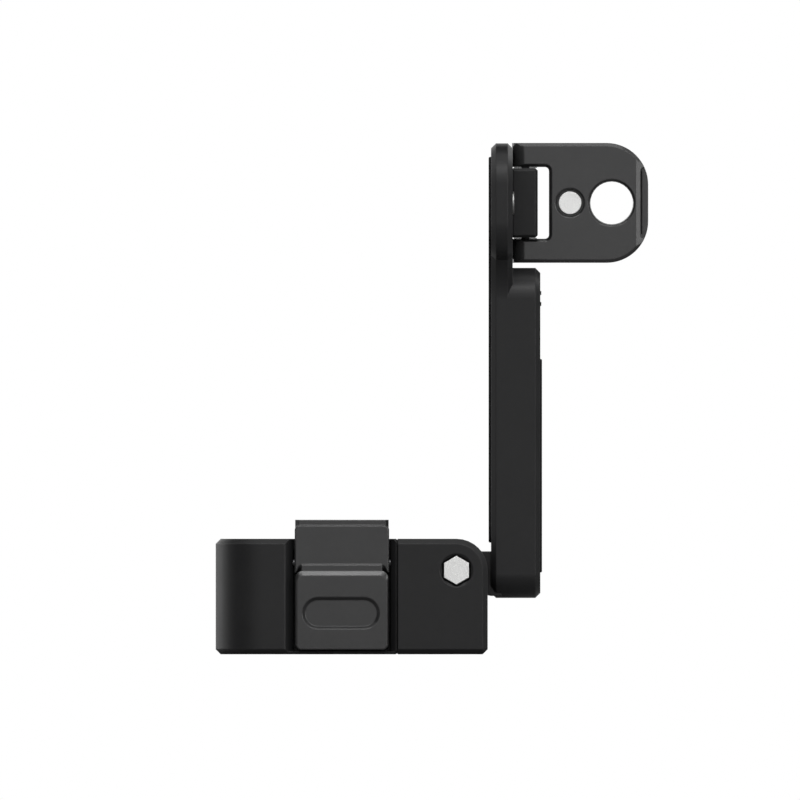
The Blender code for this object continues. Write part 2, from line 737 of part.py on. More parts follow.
def make_latch():
    """The front latch, one machined piece: claw plate, hook, hub and thumb plate."""
    face = -HALF_DEPTH
    half = LATCH_WIDTH / 2
    latch = prism("front_latch", claw_outline(half), face, face + CLAW_THICKNESS, "Y")
    chamfer(latch, CLAW_EDGE, lambda a, b: both_at(1, face)(a, b)
            and max(a.z, b.z) > ARCH_TOP + MERGE, 1, 30)
    inner = face + CLAW_THICKNESS
    hook_front = face + HOOK_FACE_INSET
    hook_low = BASE_HEIGHT + CLAW_REACH
    slope = (CLAW_TOP - hook_low) / 2
    hook = [(hook_front, hook_low - CLAW_REACH / 2), (inner - OVERRUN / 4, hook_low - CLAW_REACH / 2)]
    hook += [(inner, hook_low), (inner + CLAW_OVERHANG, hook_low)]
    hook += [(inner + CLAW_OVERHANG, CLAW_TOP - slope), (inner, CLAW_TOP), (hook_front, CLAW_TOP)]
    hook_half = half - HOOK_BACK_INSET
    hook = prism("hook", hook, LATCH_X - hook_half, LATCH_X + hook_half, "X")
    cut(hook, *hook_slants(hook_half, hook_front))
    join(latch, baked(hook))
    join(latch, rod("hub", LATCH_HUB_RADIUS, LATCH_LEFT, LATCH_RIGHT, "X", (LATCH_PIN_Y, LATCH_PIN_Z)))
    neck_half = half - NECK_INSET
    join(latch, prism("neck", neck_profile(), LATCH_X - neck_half, LATCH_X + neck_half, "X"))
    join(latch, thumb_plate())
    cut(latch, thumb_dish())
    cut(latch, rod("hub_bore", LATCH_PIN_RADIUS + RUNNING_GAP, LATCH_LEFT - OVERRUN,
                   LATCH_RIGHT + OVERRUN, "X", (LATCH_PIN_Y, LATCH_PIN_Z)))
    return baked(latch)


def hook_slants(half, front):
    """Two upright wedges that lean the ends of the hook back from its narrower face."""
    wedges = []
    slant = HOOK_SIDE_INSET - HOOK_BACK_INSET
    for sign in (-1, 1):
        near, away = LATCH_X + sign * (half - slant - OVERRUN), LATCH_X + sign * (half + OVERRUN)
        outline = [(near, front - OVERRUN), (away, front - OVERRUN), (away, front + slant + OVERRUN)]
        wedges.append(prism("hook_slant", outline, BASE_HEIGHT, CLAW_TOP + OVERRUN, "Z"))
    return wedges


def claw_outline(half):
    """Front view of the claw plate: round corners above, and an arch with two pointed legs below."""
    top = CLAW_TOP - HOOK_RISE
    arch = ARCH_TOP - NECK_EASE
    side = arc((half - NECK_INSET, arch - ARCH_RADIUS), ARCH_RADIUS, 90, ARCH_ARC_END)
    side += [(half - ARCH_TIP, arch - ARCH_FOOT), (half, arch - ARCH_FOOT)]
    side += arc((half - CLAW_CORNER, top - CLAW_CORNER), CLAW_CORNER, 0, 90)
    return [(LATCH_X + u, v) for u, v in mirrored(side)]


def thumb_plate():
    """The plate under the thumb: a bevel runs round its face, wide above and narrow elsewhere."""
    front = -HALF_DEPTH - THUMB_PROUD
    line_top = THUMB_BEVEL * (1 - THUMB_LINE_SHARE)
    face = thumb_outline(THUMB_EDGE + THUMB_LINE, THUMB_FOOT_EDGE + THUMB_FOOT_LINE, THUMB_BEVEL)
    line = thumb_outline(THUMB_EDGE, THUMB_FOOT_EDGE, line_top)
    edge = thumb_outline(0, 0, 0)
    rings = [(front, face), (front + THUMB_BEVEL_DEPTH * THUMB_LINE_SHARE, line)]
    return lofted("thumb_plate", rings + [(front + THUMB_BEVEL_DEPTH, edge), (THUMB_BACK, edge)])


def thumb_outline(side_inset, foot_inset, top_inset):
    """Front view of the thumb plate with four round corners, drawn in at its sides, foot and top."""
    half = THUMB_WIDTH / 2 - side_inset
    low, high = THUMB_BOTTOM + foot_inset, THUMB_TOP - top_inset
    corner, shoulder = THUMB_CORNER - side_inset, THUMB_SHOULDER - side_inset / 2
    side = arc((half - corner, low + corner), corner, -90, 0)
    side += arc((half - shoulder, high - shoulder), shoulder, 0, 90)
    return [(LATCH_X + u, v) for u, v in mirrored(side)]


def neck_profile():
    """Side view of the neck: it comes out of the claw plate's lower edge in a short slope."""
    face = -HALF_DEPTH
    front = face - THUMB_PROUD + THUMB_BEVEL_DEPTH
    low, high = THUMB_TOP - 2 * THUMB_BEVEL, ARCH_TOP + NECK_EASE
    return [(front, low), (front, ARCH_TOP - NECK_EASE), (2 * face - front, high), (THUMB_BACK, high),
            (THUMB_BACK, low)]


def thumb_dish():
    """The stadium that a finger presses, with sloped walls."""
    front = -HALF_DEPTH - THUMB_PROUD
    half_x, half_z = DISH_WIDTH / 2, DISH_HEIGHT / 2
    middle = LATCH_X - DISH_SHIFT
    outline = rounded_box(middle - half_x, middle + half_x, DISH_Z - half_z, DISH_Z + half_z, half_z)
    dish = prism("thumb_dish", outline, front - OVERRUN, front + DISH_DEPTH, "Y")
    chamfer(dish, DISH_DEPTH, both_at(1, front + DISH_DEPTH))
    return dish


def make_latch_pin(name, y):
    """A plain pin slid in from the seam, where the hinge block then traps it."""
    right = SEAM_X - SEAM_GAP
    pin = rod(name, LATCH_PIN_RADIUS, LATCH_LEFT - LATCH_PIN_GRIP, right, "X", (y, LATCH_PIN_Z),
              sides=ROUND // 2)
    steel(pin)
    smooth(pin)


def spring_points():
    """Points along the return spring: a flat turn at each end and an even climb between."""
    start = THUMB_BACK + SEAT_GAP + SPRING_WIRE / 2
    end = SPRING_POCKET_END - SEAT_GAP - SPRING_WIRE / 2
    count = SPRING_TURNS * SPRING_STEPS
    points = []
    for i in range(count + 1):
        angle = 2 * math.pi * i / SPRING_STEPS
        points.append(Vector((LATCH_X + SPRING_RADIUS * math.cos(angle), start + (end - start) * i / count,
                              SPRING_Z + SPRING_RADIUS * math.sin(angle))))
    return points


def least_self_gap(points):
    """Least clear distance between turns, half a turn or more apart along the wire."""
    least = None
    for i, a in enumerate(points):
        for b in points[i + SPRING_STEPS // 2:]:
            gap = (a - b).length - SPRING_WIRE
            least = gap if least is None or gap < least else least
    return least


def make_latch_spring():
    points = spring_points()
    print("latch spring: least gap between turns", round(least_self_gap(points), 6), "m")
    tangent = Vector((0, 0, SPRING_WIRE))
    points = [points[0] - tangent] + points + [points[-1] + tangent]
    curve = bpy.data.curves.new("front_latch_spring", "CURVE")
    curve.dimensions = "3D"
    curve.bevel_depth = SPRING_WIRE / 2
    curve.bevel_resolution = 1
    curve.use_fill_caps = True
    spline = curve.splines.new("POLY")
    spline.points.add(len(points) - 1)
    for target, point in zip(spline.points, points):
        target.co = (*point, 1)
    guide = bpy.data.objects.new("spring_guide", curve)
    CUTTERS.objects.link(guide)
    bpy.context.view_layer.update()
    mesh = bpy.data.meshes.new_from_object(guide.evaluated_get(bpy.context.evaluated_depsgraph_get()))
    bpy.data.objects.remove(guide)
    bpy.data.curves.remove(curve)
    spring = add_part("front_latch_spring", welded(mesh))
    steel(spring)
    return spring


# Arm hinge

def nut_floor():
    return HALF_DEPTH - NUT_SUNK - NUT_THICKNESS


def make_pivot_bolt():
    pivot = (ARM_PIVOT_X, ARM_PIVOT_Z)
    front = -HALF_DEPTH + BOLT_HEAD_SUNK
    bolt = prism("pivot_bolt", hexagon(pivot, BOLT_FLATS), front, front + BOLT_HEAD, "Y")
    chamfer(bolt, BOLT_EDGE, both_at(1, front))
    join(bolt, rod("bolt_shank", BOLT_SHANK, front + BOLT_HEAD / 2, HALF_DEPTH - SEAT_GAP, "Y", pivot))
    steel(bolt)
    return bolt


def make_pivot_nut():
    pivot = (ARM_PIVOT_X, ARM_PIVOT_Z)
    start = nut_floor()
    nut = prism("pivot_nut", hexagon(pivot, NUT_FLATS), start, start + NUT_THICKNESS, "Y")
    chamfer(nut, BOLT_EDGE, both_at(1, start + NUT_THICKNESS))
    cut(nut, rod("nut_bore", BOLT_SHANK + SEAT_GAP, start - OVERRUN, HALF_DEPTH + OVERRUN, "Y", pivot))
    steel(nut)
    return nut


def make_friction_washers():
    pivot = (ARM_PIVOT_X, ARM_PIVOT_Z)
    near = TONGUE_WIDTH / 2 + SEAT_GAP
    for side, sign in (("front", -1), ("rear", 1)):
        start, end = sorted((sign * near, sign * (near + WASHER_THICKNESS)))
        washer = rod("friction_washer_" + side, WASHER_RADIUS, start, end, "Y", pivot)
        cut(washer, rod("washer_bore", BOLT_SHANK + SEAT_GAP, start - OVERRUN, end + OVERRUN, "Y", pivot))
        brass(washer)
        smooth(washer)


# Arm

def arm_outline(inset=0, bottom=BAR_BOTTOM):
    """The arm's left face as (y, z): narrow below, waisted, and wide at the head."""
    half, head = BAR_WIDTH / 2 - inset, HEAD_WIDTH / 2 - inset
    foot = BAR_BOTTOM_RADIUS - inset
    corner = HEAD_RADIUS - inset
    waist = (BAR_WIDTH / 2 + WAIST_RADIUS, WAIST_Z)
    waist_radius = WAIST_RADIUS + inset
    low = (HEAD_WIDTH / 2 - HEAD_RADIUS, HEAD_TOP - HEAD_HEIGHT + HEAD_RADIUS)
    high = (HEAD_WIDTH / 2 - HEAD_RADIUS, HEAD_TOP - HEAD_RADIUS)
    meet = crossing(low, corner, waist, waist_radius)
    waist_end = math.degrees(math.atan2(meet.y - waist[1], meet.x - waist[0]))
    head_start = math.degrees(math.atan2(meet.y - low[1], meet.x - low[0]))
    outline = arc((half - foot, bottom + foot), foot, -90, 0)
    outline += arc(waist, waist_radius, 180, waist_end)
    outline += arc(low, corner, head_start, 0)[1:]
    outline += arc(high, corner, 0, 90)
    return mirrored(outline)


def bar_outline():
    half = BAR_WIDTH / 2
    foot = (half - BAR_BOTTOM_RADIUS, BAR_BOTTOM + BAR_BOTTOM_RADIUS)
    outline = arc(foot, BAR_BOTTOM_RADIUS, -90, 0)
    outline += arc((0, BAR_TOP - half), half, 0, 90)
    return outline + [(-u, v) for u, v in reversed(outline[:-1])]


def tongue_outline():
    """Side view of the tongue: round about the bolt and as deep as the bar where it joins."""
    pivot = (ARM_PIVOT_X, ARM_PIVOT_Z)
    root = ARM_LEFT + ARM_CHAMFER + OVERRUN / 2
    drop = ARM_PIVOT_Z - BAR_BOTTOM - NECK_BOTTOM_GAP
    lean = math.degrees(math.asin(min((drop - TONGUE_RADIUS) / (ARM_LEFT - ARM_PIVOT_X), 1)))
    outline = arc(pivot, TONGUE_RADIUS, 90, 270 - lean, 2 * QUARTER)
    outline += [(ARM_LEFT, ARM_PIVOT_Z - drop), (root, ARM_PIVOT_Z - drop)]
    return outline + [(root, ARM_PIVOT_Z + TONGUE_RADIUS)]


def make_arm():
    arm = prism("arm_bar", arm_outline(), ARM_LEFT, PLATE_RIGHT, "X")
    chamfer(arm, ARM_CHAMFER, both_at(0, ARM_LEFT), 1, 60)
    chamfer(arm, ARM_CHAMFER, both_at(0, PLATE_RIGHT), 1, 60)
    bar = prism("bar", bar_outline(), ARM_LEFT + PLATE_THICKNESS / 2, BAR_RIGHT, "X")
    chamfer(bar, ARM_CHAMFER, both_at(0, BAR_RIGHT), 1, 60)
    join(arm, bar)
    half = TONGUE_WIDTH / 2
    join(arm, prism("tongue", tongue_outline(), -half, half, "Y"))
    cut(arm, rod("tongue_bore", BOLT_SHANK + RUNNING_GAP, -half - OVERRUN, half + OVERRUN, "Y",
                 (ARM_PIVOT_X, ARM_PIVOT_Z)))
    floor = ARM_LEFT + FACE_PAD_DEPTH
    cut(arm, prism("face_pad_pocket", arm_outline(FACE_PAD_INSET - SEAT_GAP, FACE_PAD_BOTTOM - SEAT_GAP),
                   ARM_LEFT - OVERRUN, floor, "X"))
    cut(arm, prism("grip_pocket", grip_outline(SEAT_GAP), BAR_RIGHT - GRIP_DEPTH, BAR_RIGHT + OVERRUN, "X"))
    cut(arm, rod("cap_screw_seat", CAP_SCREW_RADIUS + SEAT_GAP, BAR_RIGHT + CAP_SCREW_PROUD - CAP_SCREW_HEAD
                 - SEAT_GAP, BAR_RIGHT + OVERRUN, "X", (0, CAP_SCREW_Z)))
    cut(arm, rod("cap_screw_hole", CAP_SCREW_SHANK + SEAT_GAP, BAR_RIGHT - CAP_SCREW_LENGTH - SEAT_GAP,
                 BAR_RIGHT, "X", (0, CAP_SCREW_Z)))
    cut(arm, knuckle_bed(), nose_groove())
    cut(arm, rod("head_disc_pocket", HEAD_DISC_RADIUS + SEAT_GAP, PLATE_RIGHT + HEAD_DISC_PROUD
                 - HEAD_DISC_THICKNESS - SEAT_GAP, PLATE_RIGHT + OVERRUN, "X", (HEAD_DISC_Y, TAB_Z)))
    for z in knuckle_screw_places():
        cut(arm, rod("plate_hole", KNUCKLE_SCREW_SHANK + SEAT_GAP, floor, PLATE_RIGHT + OVERRUN, "X",
                     (KNUCKLE_SCREW_Y, z)))
        cut(arm, rod("plate_counterbore", KNUCKLE_SCREW_HEAD + SEAT_GAP, floor - OVERRUN,
                     floor + KNUCKLE_SCREW_HEAD_DEPTH + 2 * SEAT_GAP, "X", (KNUCKLE_SCREW_Y, z)))
    anodised(arm)
    smooth(arm)
    return arm


def make_face_pad():
    outline = arm_outline(FACE_PAD_INSET, FACE_PAD_BOTTOM)
    pad = prism("arm_face_pad", outline, ARM_LEFT - FACE_PAD_PROUD, ARM_LEFT + FACE_PAD_DEPTH - SEAT_GAP, "X")
    silicone(pad)
    return pad


def grip_outline(extra):
    half = BAR_WIDTH / 2 - GRIP_INSET + extra
    return rounded_box(-half, half, GRIP_BOTTOM - extra, GRIP_TOP + extra, GRIP_CORNER)


def make_grip_strip():
    strip = prism("arm_grip_strip", grip_outline(0), BAR_RIGHT - GRIP_DEPTH + SEAT_GAP,
                  BAR_RIGHT + GRIP_PROUD, "X")
    silicone(strip)
    return strip


def make_cap_screw():
    top = BAR_RIGHT + CAP_SCREW_PROUD
    screw = rod("arm_cap_screw", CAP_SCREW_RADIUS, top - CAP_SCREW_HEAD, top, "X", (0, CAP_SCREW_Z))
    join(screw, rod("cap_screw_shank", CAP_SCREW_SHANK, BAR_RIGHT - CAP_SCREW_LENGTH,
                    top - CAP_SCREW_HEAD / 2, "X", (0, CAP_SCREW_Z)))
    half = CAP_SCREW_SLOT / 2
    cut(screw, block("cap_screw_slot", (top - CAP_SCREW_SLOT_DEPTH, -CAP_SCREW_RADIUS - OVERRUN,
                                        CAP_SCREW_Z - half),
                     (top + OVERRUN, CAP_SCREW_RADIUS + OVERRUN, CAP_SCREW_Z + half)))
    steel(screw)
    smooth(screw)
    return screw


# Tab hinge

def knuckle_screw_places():
    return (KNUCKLE_Z - KNUCKLE_SCREW_SPACING / 2, KNUCKLE_Z + KNUCKLE_SCREW_SPACING / 2)


def knuckle_box(extra):
    """Lowest and highest corners of the knuckle, grown by a gap for its bed in the head."""
    half = KNUCKLE_HEIGHT / 2 + extra
    low = (KNUCKLE_LEFT - extra, TAB_AXIS_Y - KNUCKLE_FRONT - extra, KNUCKLE_Z - half)
    high = (TAB_AXIS_X + KNUCKLE_RIGHT + extra, TAB_AXIS_Y + KNUCKLE_BACK + extra, KNUCKLE_Z + half)
    return low, high


def knuckle_bed():
    return block("knuckle_bed", *knuckle_box(SEAT_GAP))


def nose_groove():
    """The upright groove in the head's right face that the tab's nose turns in."""
    return rod("nose_groove", NOSE_REACH + RUNNING_GAP, TAB_Z - TAB_HEIGHT / 2 - SEAT_GAP,
               HEAD_TOP + OVERRUN, "Z", (TAB_AXIS_X, TAB_AXIS_Y))


def knuckle_screw_end():
    return KNUCKLE_LEFT + KNUCKLE_SCREW_REACH


def make_knuckle():
    half = KNUCKLE_HEIGHT / 2
    knuckle = block("knuckle", *knuckle_box(0))
    chamfer(knuckle, KNUCKLE_CHAMFER)
    cut(knuckle, rod("knuckle_bore", TAB_PIN_RADIUS + RUNNING_GAP, KNUCKLE_Z - half - OVERRUN,
                     KNUCKLE_Z + half + OVERRUN, "Z", (TAB_AXIS_X, TAB_AXIS_Y), sides=ROUND // 2))
    for z in knuckle_screw_places():
        cut(knuckle, rod("knuckle_screw_hole", KNUCKLE_SCREW_SHANK + SEAT_GAP, KNUCKLE_LEFT - OVERRUN,
                         knuckle_screw_end() + SEAT_GAP, "X", (KNUCKLE_SCREW_Y, z)))
    anodised(knuckle)
    return knuckle


def make_knuckle_screws():
    under_head = ARM_LEFT + FACE_PAD_DEPTH + KNUCKLE_SCREW_HEAD_DEPTH + SEAT_GAP
    screws = []
    for side, z in zip(("low", "high"), knuckle_screw_places()):
        screw = socket_screw("knuckle_screw_" + side, (KNUCKLE_SCREW_Y, z), under_head, KNUCKLE_SCREW_HEAD,
                             KNUCKLE_SCREW_HEAD_DEPTH, KNUCKLE_SCREW_SHANK, knuckle_screw_end(), 1)
        steel(screw)
        smooth(screw)
        screws.append(screw)
    return screws


def make_tab_pin():
    half = TAB_HEIGHT / 2 - TAB_PIN_SUNK
    pin = rod("tab_hinge_pin", TAB_PIN_RADIUS, TAB_Z - half, TAB_Z + half, "Z", (TAB_AXIS_X, TAB_AXIS_Y),
              sides=ROUND // 2)
    steel(pin)
    return pin


# Tab

def tab_outline():
    """Front view of the tab: two ears round a slot, straight edges and a round tip."""
    left = TAB_AXIS_X - TAB_THICKNESS
    low, high = TAB_Z - TAB_HEIGHT / 2, TAB_Z + TAB_HEIGHT / 2
    slot_low = KNUCKLE_Z - KNUCKLE_HEIGHT / 2 - TAB_SLOT_GAP
    slot_high = KNUCKLE_Z + KNUCKLE_HEIGHT / 2 + TAB_SLOT_GAP
    tip = TAB_TIP_X - TAB_TIP_RADIUS
    bend = TAB_SLOT_X - TAB_SLOT_CORNER
    outline = [(left, low)] + arc((tip, low + TAB_TIP_RADIUS), TAB_TIP_RADIUS, -90, 0, 2 * QUARTER)
    outline += arc((tip, high - TAB_TIP_RADIUS), TAB_TIP_RADIUS, 0, 90, 2 * QUARTER)
    outline += [(left, high), (left, slot_high)]
    outline += arc((bend, slot_high - TAB_SLOT_CORNER), TAB_SLOT_CORNER, 90, 0, QUARTER // 2)
    outline += arc((bend, slot_low + TAB_SLOT_CORNER), TAB_SLOT_CORNER, 0, -90, QUARTER // 2)
    return outline + [(left, slot_low)]


def make_tab():
    tab = prism("tab_plate", tab_outline(), TAB_FRONT, TAB_BACK, "Y")
    for face in (TAB_FRONT, TAB_BACK):
        chamfer(tab, TAB_CHAMFER, both_at(1, face))
    stretch = NOSE_REACH / (TAB_THICKNESS / 2)
    nose = arc((0, TAB_AXIS_Y), TAB_THICKNESS / 2, 270, 90, 2 * QUARTER)
    nose = [(TAB_AXIS_X + u * stretch, v) for u, v in nose]
    far = TAB_TIP_X + OVERRUN
    nose += [(far, TAB_BACK), (far, TAB_FRONT)]
    nose = prism("tab_nose", nose, TAB_Z - TAB_HEIGHT, TAB_Z + TAB_HEIGHT, "Z")
    combine(tab, nose, "INTERSECT")
    hole = (TAB_HOLE_X, TAB_Z)
    cut(tab, rod("tab_hole", TAB_HOLE_RADIUS, TAB_FRONT - OVERRUN, TAB_BACK + OVERRUN, "Y", hole))
    wide = TAB_HOLE_RADIUS + TAB_HOLE_CHAMFER
    throat = TAB_HOLE_RADIUS + TAB_HOLE_THROAT
    cut(tab, rod("tab_hole_throat", throat, TAB_FRONT, TAB_FRONT + TAB_HOLE_THROAT_DEPTH, "Y", hole,
                 TAB_HOLE_RADIUS))
    cut(tab, rod("tab_hole_front", throat + 2 * TAB_HOLE_CHAMFER, TAB_FRONT - TAB_HOLE_CHAMFER,
                 TAB_FRONT + TAB_HOLE_CHAMFER, "Y", hole, throat))
    cut(tab, rod("tab_hole_back", TAB_HOLE_RADIUS, TAB_BACK - TAB_HOLE_CHAMFER,
                 TAB_BACK + TAB_HOLE_CHAMFER, "Y", hole, wide + TAB_HOLE_CHAMFER))
    cut(tab, rod("disc_pocket", DISC_POCKET_RADIUS, TAB_FRONT - OVERRUN,
                 TAB_FRONT + DISC_SUNK + DISC_THICKNESS + SEAT_GAP, "Y", (TAB_DISC_X, TAB_Z)))
    cut(tab, rod("disc_pocket_rim", DISC_POCKET_RADIUS + 2 * DISC_POCKET_RIM, TAB_FRONT - DISC_POCKET_RIM,
                 TAB_FRONT + DISC_POCKET_RIM, "Y", (TAB_DISC_X, TAB_Z), DISC_POCKET_RADIUS))
    cut(tab, rod("tab_pin_hole", TAB_PIN_RADIUS + RUNNING_GAP, TAB_Z - TAB_HEIGHT, TAB_Z + TAB_HEIGHT, "Z",
                 (TAB_AXIS_X, TAB_AXIS_Y), sides=ROUND // 2))
    slope = TIP_BEVEL_DEPTH / (TAB_TIP_X - TIP_BEVEL_X)
    wedge = [(TIP_BEVEL_X - OVERRUN, TAB_FRONT - OVERRUN * slope), (far, TAB_FRONT - OVERRUN)]
    wedge += [(far, TAB_FRONT + (far - TIP_BEVEL_X) * slope)]
    cut(tab, prism("tip_bevel", wedge, TAB_Z - TAB_HEIGHT, TAB_Z + TAB_HEIGHT, "Z"))
    half = NAIL_HEIGHT / 2
    nail = rounded_box(NAIL_X, far + OVERRUN, TAB_Z - half, TAB_Z + half, NAIL_CORNER)
    cut(tab, prism("nail_notch", nail, TAB_FRONT - OVERRUN, TAB_FRONT + NAIL_DEPTH, "Y"))
    root = half - NAIL_CORNER
    cut(tab, block("nail_groove", (NAIL_X, TAB_FRONT - OVERRUN, TAB_Z - root),
                   (NAIL_X + NAIL_GROOVE, TAB_FRONT + NAIL_DEPTH + NAIL_GROOVE_DEPTH, TAB_Z + root)))
    grey_anodised(tab)
    smooth(tab)
    return tab


def make_tab_disc():
    front = TAB_FRONT + DISC_SUNK
    disc = rod("tab_disc", DISC_RADIUS, front, front + DISC_THICKNESS, "Y", (TAB_DISC_X, TAB_Z))
    chamfer(disc, DISC_EDGE, both_at(1, front))
    steel(disc)
    smooth(disc)
    return disc


def make_head_disc():
    right = PLATE_RIGHT + HEAD_DISC_PROUD
    disc = rod("head_disc", HEAD_DISC_RADIUS, right - HEAD_DISC_THICKNESS, right, "X", (HEAD_DISC_Y, TAB_Z))
    chamfer(disc, DISC_EDGE, both_at(0, right))
    steel(disc)
    smooth(disc)
    return disc


# Assembly

def build():
    make_base_body()
    make_hinge_block()
    make_seat_pad()
    make_seat_magnets()
    make_tripod_insert()
    make_block_screws()
    make_pivot_bolt()
    make_pivot_nut()
    make_friction_washers()

    latch = make_latch()
    spring = make_latch_spring()
    rear_latch = turned_to_rear(latch, "rear_latch")
    rear_spring = turned_to_rear(spring, "rear_latch_spring")
    for name, y, lever in (("front", LATCH_PIN_Y, latch), ("rear", -LATCH_PIN_Y, rear_latch)):
        make_latch_pin(name + "_latch_pin", y)
        point = (LATCH_X, y, LATCH_PIN_Z)
        hang(lever, axis_empty(name + "_latch_axis", point), point)
        grey_anodised(lever)
        smooth(lever)
    for piece in (spring, rear_spring):
        steel(piece)
        smooth(piece)

    arm_point = (ARM_PIVOT_X, 0, ARM_PIVOT_Z)
    arm_axis = axis_empty("arm_fold_axis", arm_point)
    arm_pieces = [make_arm(), make_face_pad(), make_grip_strip(), make_cap_screw(), make_knuckle()]
    arm_pieces += [*make_knuckle_screws(), make_tab_pin(), make_head_disc()]
    for piece in arm_pieces:
        hang(piece, arm_axis, arm_point)

    tab_point = (TAB_AXIS_X, TAB_AXIS_Y, TAB_Z)
    tab_axis = axis_empty("tab_fold_axis", tab_point, arm_axis)
    for piece in (make_tab(), make_tab_disc()):
        piece.data.transform(Matrix.Translation(-Vector(tab_point)))
        piece.parent = tab_axis


build()
print("sub-parts:", len([part for part in PARTS.objects if part.type == "MESH"]))
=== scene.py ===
# %% [markdown]
# # Dressing a folding camera mount
# The mount is a small machined device: a low seat that clamps a camera between two sprung
# claws, an arm that folds on a cross bolt, and a lighter tab on an upright pin. Its solids are
# already modelled to size, so this lesson adds only what makes metal look like metal: a studio,
# a camera, finishes with fine grain and worn edges that also carry a painted highlight, and the
# soft and wound pieces.

# %% Open the finished solids
import json
import math

import bmesh
import bpy
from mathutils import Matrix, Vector


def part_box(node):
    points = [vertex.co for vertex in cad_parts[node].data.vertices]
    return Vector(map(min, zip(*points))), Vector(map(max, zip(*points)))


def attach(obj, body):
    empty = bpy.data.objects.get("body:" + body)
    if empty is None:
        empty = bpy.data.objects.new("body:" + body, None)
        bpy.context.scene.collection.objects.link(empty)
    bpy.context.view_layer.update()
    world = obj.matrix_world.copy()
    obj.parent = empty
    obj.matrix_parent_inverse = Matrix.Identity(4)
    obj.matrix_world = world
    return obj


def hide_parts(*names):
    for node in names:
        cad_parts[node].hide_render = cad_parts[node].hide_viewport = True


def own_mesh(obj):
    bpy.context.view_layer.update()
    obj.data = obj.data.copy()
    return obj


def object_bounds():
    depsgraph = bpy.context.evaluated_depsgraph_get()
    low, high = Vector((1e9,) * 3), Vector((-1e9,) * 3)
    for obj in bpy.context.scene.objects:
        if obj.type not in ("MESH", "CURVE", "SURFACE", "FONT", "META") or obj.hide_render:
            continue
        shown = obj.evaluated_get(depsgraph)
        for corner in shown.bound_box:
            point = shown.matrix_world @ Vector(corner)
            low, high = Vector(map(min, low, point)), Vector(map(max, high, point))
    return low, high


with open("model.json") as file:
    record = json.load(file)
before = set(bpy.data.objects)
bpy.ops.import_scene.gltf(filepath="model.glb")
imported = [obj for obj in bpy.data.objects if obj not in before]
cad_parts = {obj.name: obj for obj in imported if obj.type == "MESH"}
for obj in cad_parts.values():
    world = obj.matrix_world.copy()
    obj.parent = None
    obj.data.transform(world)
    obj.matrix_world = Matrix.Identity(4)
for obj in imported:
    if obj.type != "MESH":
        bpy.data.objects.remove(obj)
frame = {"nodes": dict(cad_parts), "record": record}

nodes = frame["nodes"]
cad_low, cad_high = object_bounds()
print("solids:", len(nodes), "size in metres:", [round(v, 4) for v in cad_high - cad_low])

# %% [markdown]
# ## The camera
# The picture shows no side face of any part, so it was taken square on and without perspective.
# An orthographic camera does that. Its view is as wide as the picture's side times the size of
# one pixel, which the bolt's hexagon gives: five millimetres over 25 pixels.

# %% Look at the mount square on from the front
PICTURE_SIDE = 800
PIXEL = 0.0002
VIEW_MIDDLE_X = 0.00966
VIEW_MIDDLE_Z = 0.05086
CAMERA_DISTANCE = 0.6
LEVEL_TILT = 90             # in degrees; a camera with no tilt looks straight down

lens = bpy.data.cameras.new("front_view")
lens.type = "ORTHO"
lens.ortho_scale = PICTURE_SIDE * PIXEL
camera = bpy.data.objects.new("front_view", lens)
camera.location = (VIEW_MIDDLE_X, -CAMERA_DISTANCE, VIEW_MIDDLE_Z)
camera.rotation_euler = (math.radians(LEVEL_TILT), 0, 0)
bpy.context.scene.collection.objects.link(camera)
bpy.context.scene.camera = camera
bpy.context.scene.view_settings.view_transform = "Standard"
print("view width:", lens.ortho_scale, "m")

# %% [markdown]
# ## Small helpers for nodes
# Every finish below is built from the same few steps: add a node, feed its sockets with numbers
# or with other nodes, and pass its result on. Short helpers keep those steps readable.

# %% Helpers that add nodes
def feed(tree, socket, value):
    """Links another node's output to a socket, or sets a plain value on it."""
    if isinstance(value, bpy.types.NodeSocket):
        tree.links.new(value, socket)
    else:
        socket.default_value = value


def add_node(tree, kind, inputs=(), **settings):
    """Adds a node with its settings and feeds the sockets that are given by name."""
    made = tree.nodes.new(kind)
    for key, value in settings.items():
        setattr(made, key, value)
    for title, value in dict(inputs).items():
        feed(tree, made.inputs[title], value)
    return made


def reckon(tree, operation, *terms):
    """A Math node on numbers or outputs."""
    made = tree.nodes.new("ShaderNodeMath")
    made.operation = operation
    for socket, term in zip(made.inputs, terms):
        feed(tree, socket, term)
    return made.outputs["Value"]


def spread(tree, value, low, high, new_low, new_high):
    """Stretches a value from one range to another, and stops at the ends."""
    made = add_node(tree, "ShaderNodeMapRange", {"Value": value, "From Min": low, "From Max": high,
                                                 "To Min": new_low, "To Max": new_high})
    return made.outputs["Result"]


def tint(tree, factor, first, second):
    """Goes from a first colour to a second one."""
    made = add_node(tree, "ShaderNodeMix", data_type="RGBA")
    feed(tree, made.inputs[0], factor)
    feed(tree, made.inputs[6], first)
    feed(tree, made.inputs[7], second)
    return made.outputs[2]


print("helpers ready")

# %% [markdown]
# ## Round forms without facets
# The solids are made of flat facets, eight to a quarter turn, so a lamp would show each facet of
# the seat's round end. The solids' own meshes stay exactly as they came: a stack of modifiers
# shades them. It welds the corners, joins triangles that lie in one flat, marks every edge that
# turns more than a small angle as sharp, and weighs the normals by area, so flats stay flat.

# %% Shade the solids smooth by modifiers
WELD_DISTANCE = 0.000001
FLAT_ANGLE = 0.05
SHALLOW_TURN = 15
TURNED_TURN = 30
TURNED_SLOTS = ("steel", "brass")


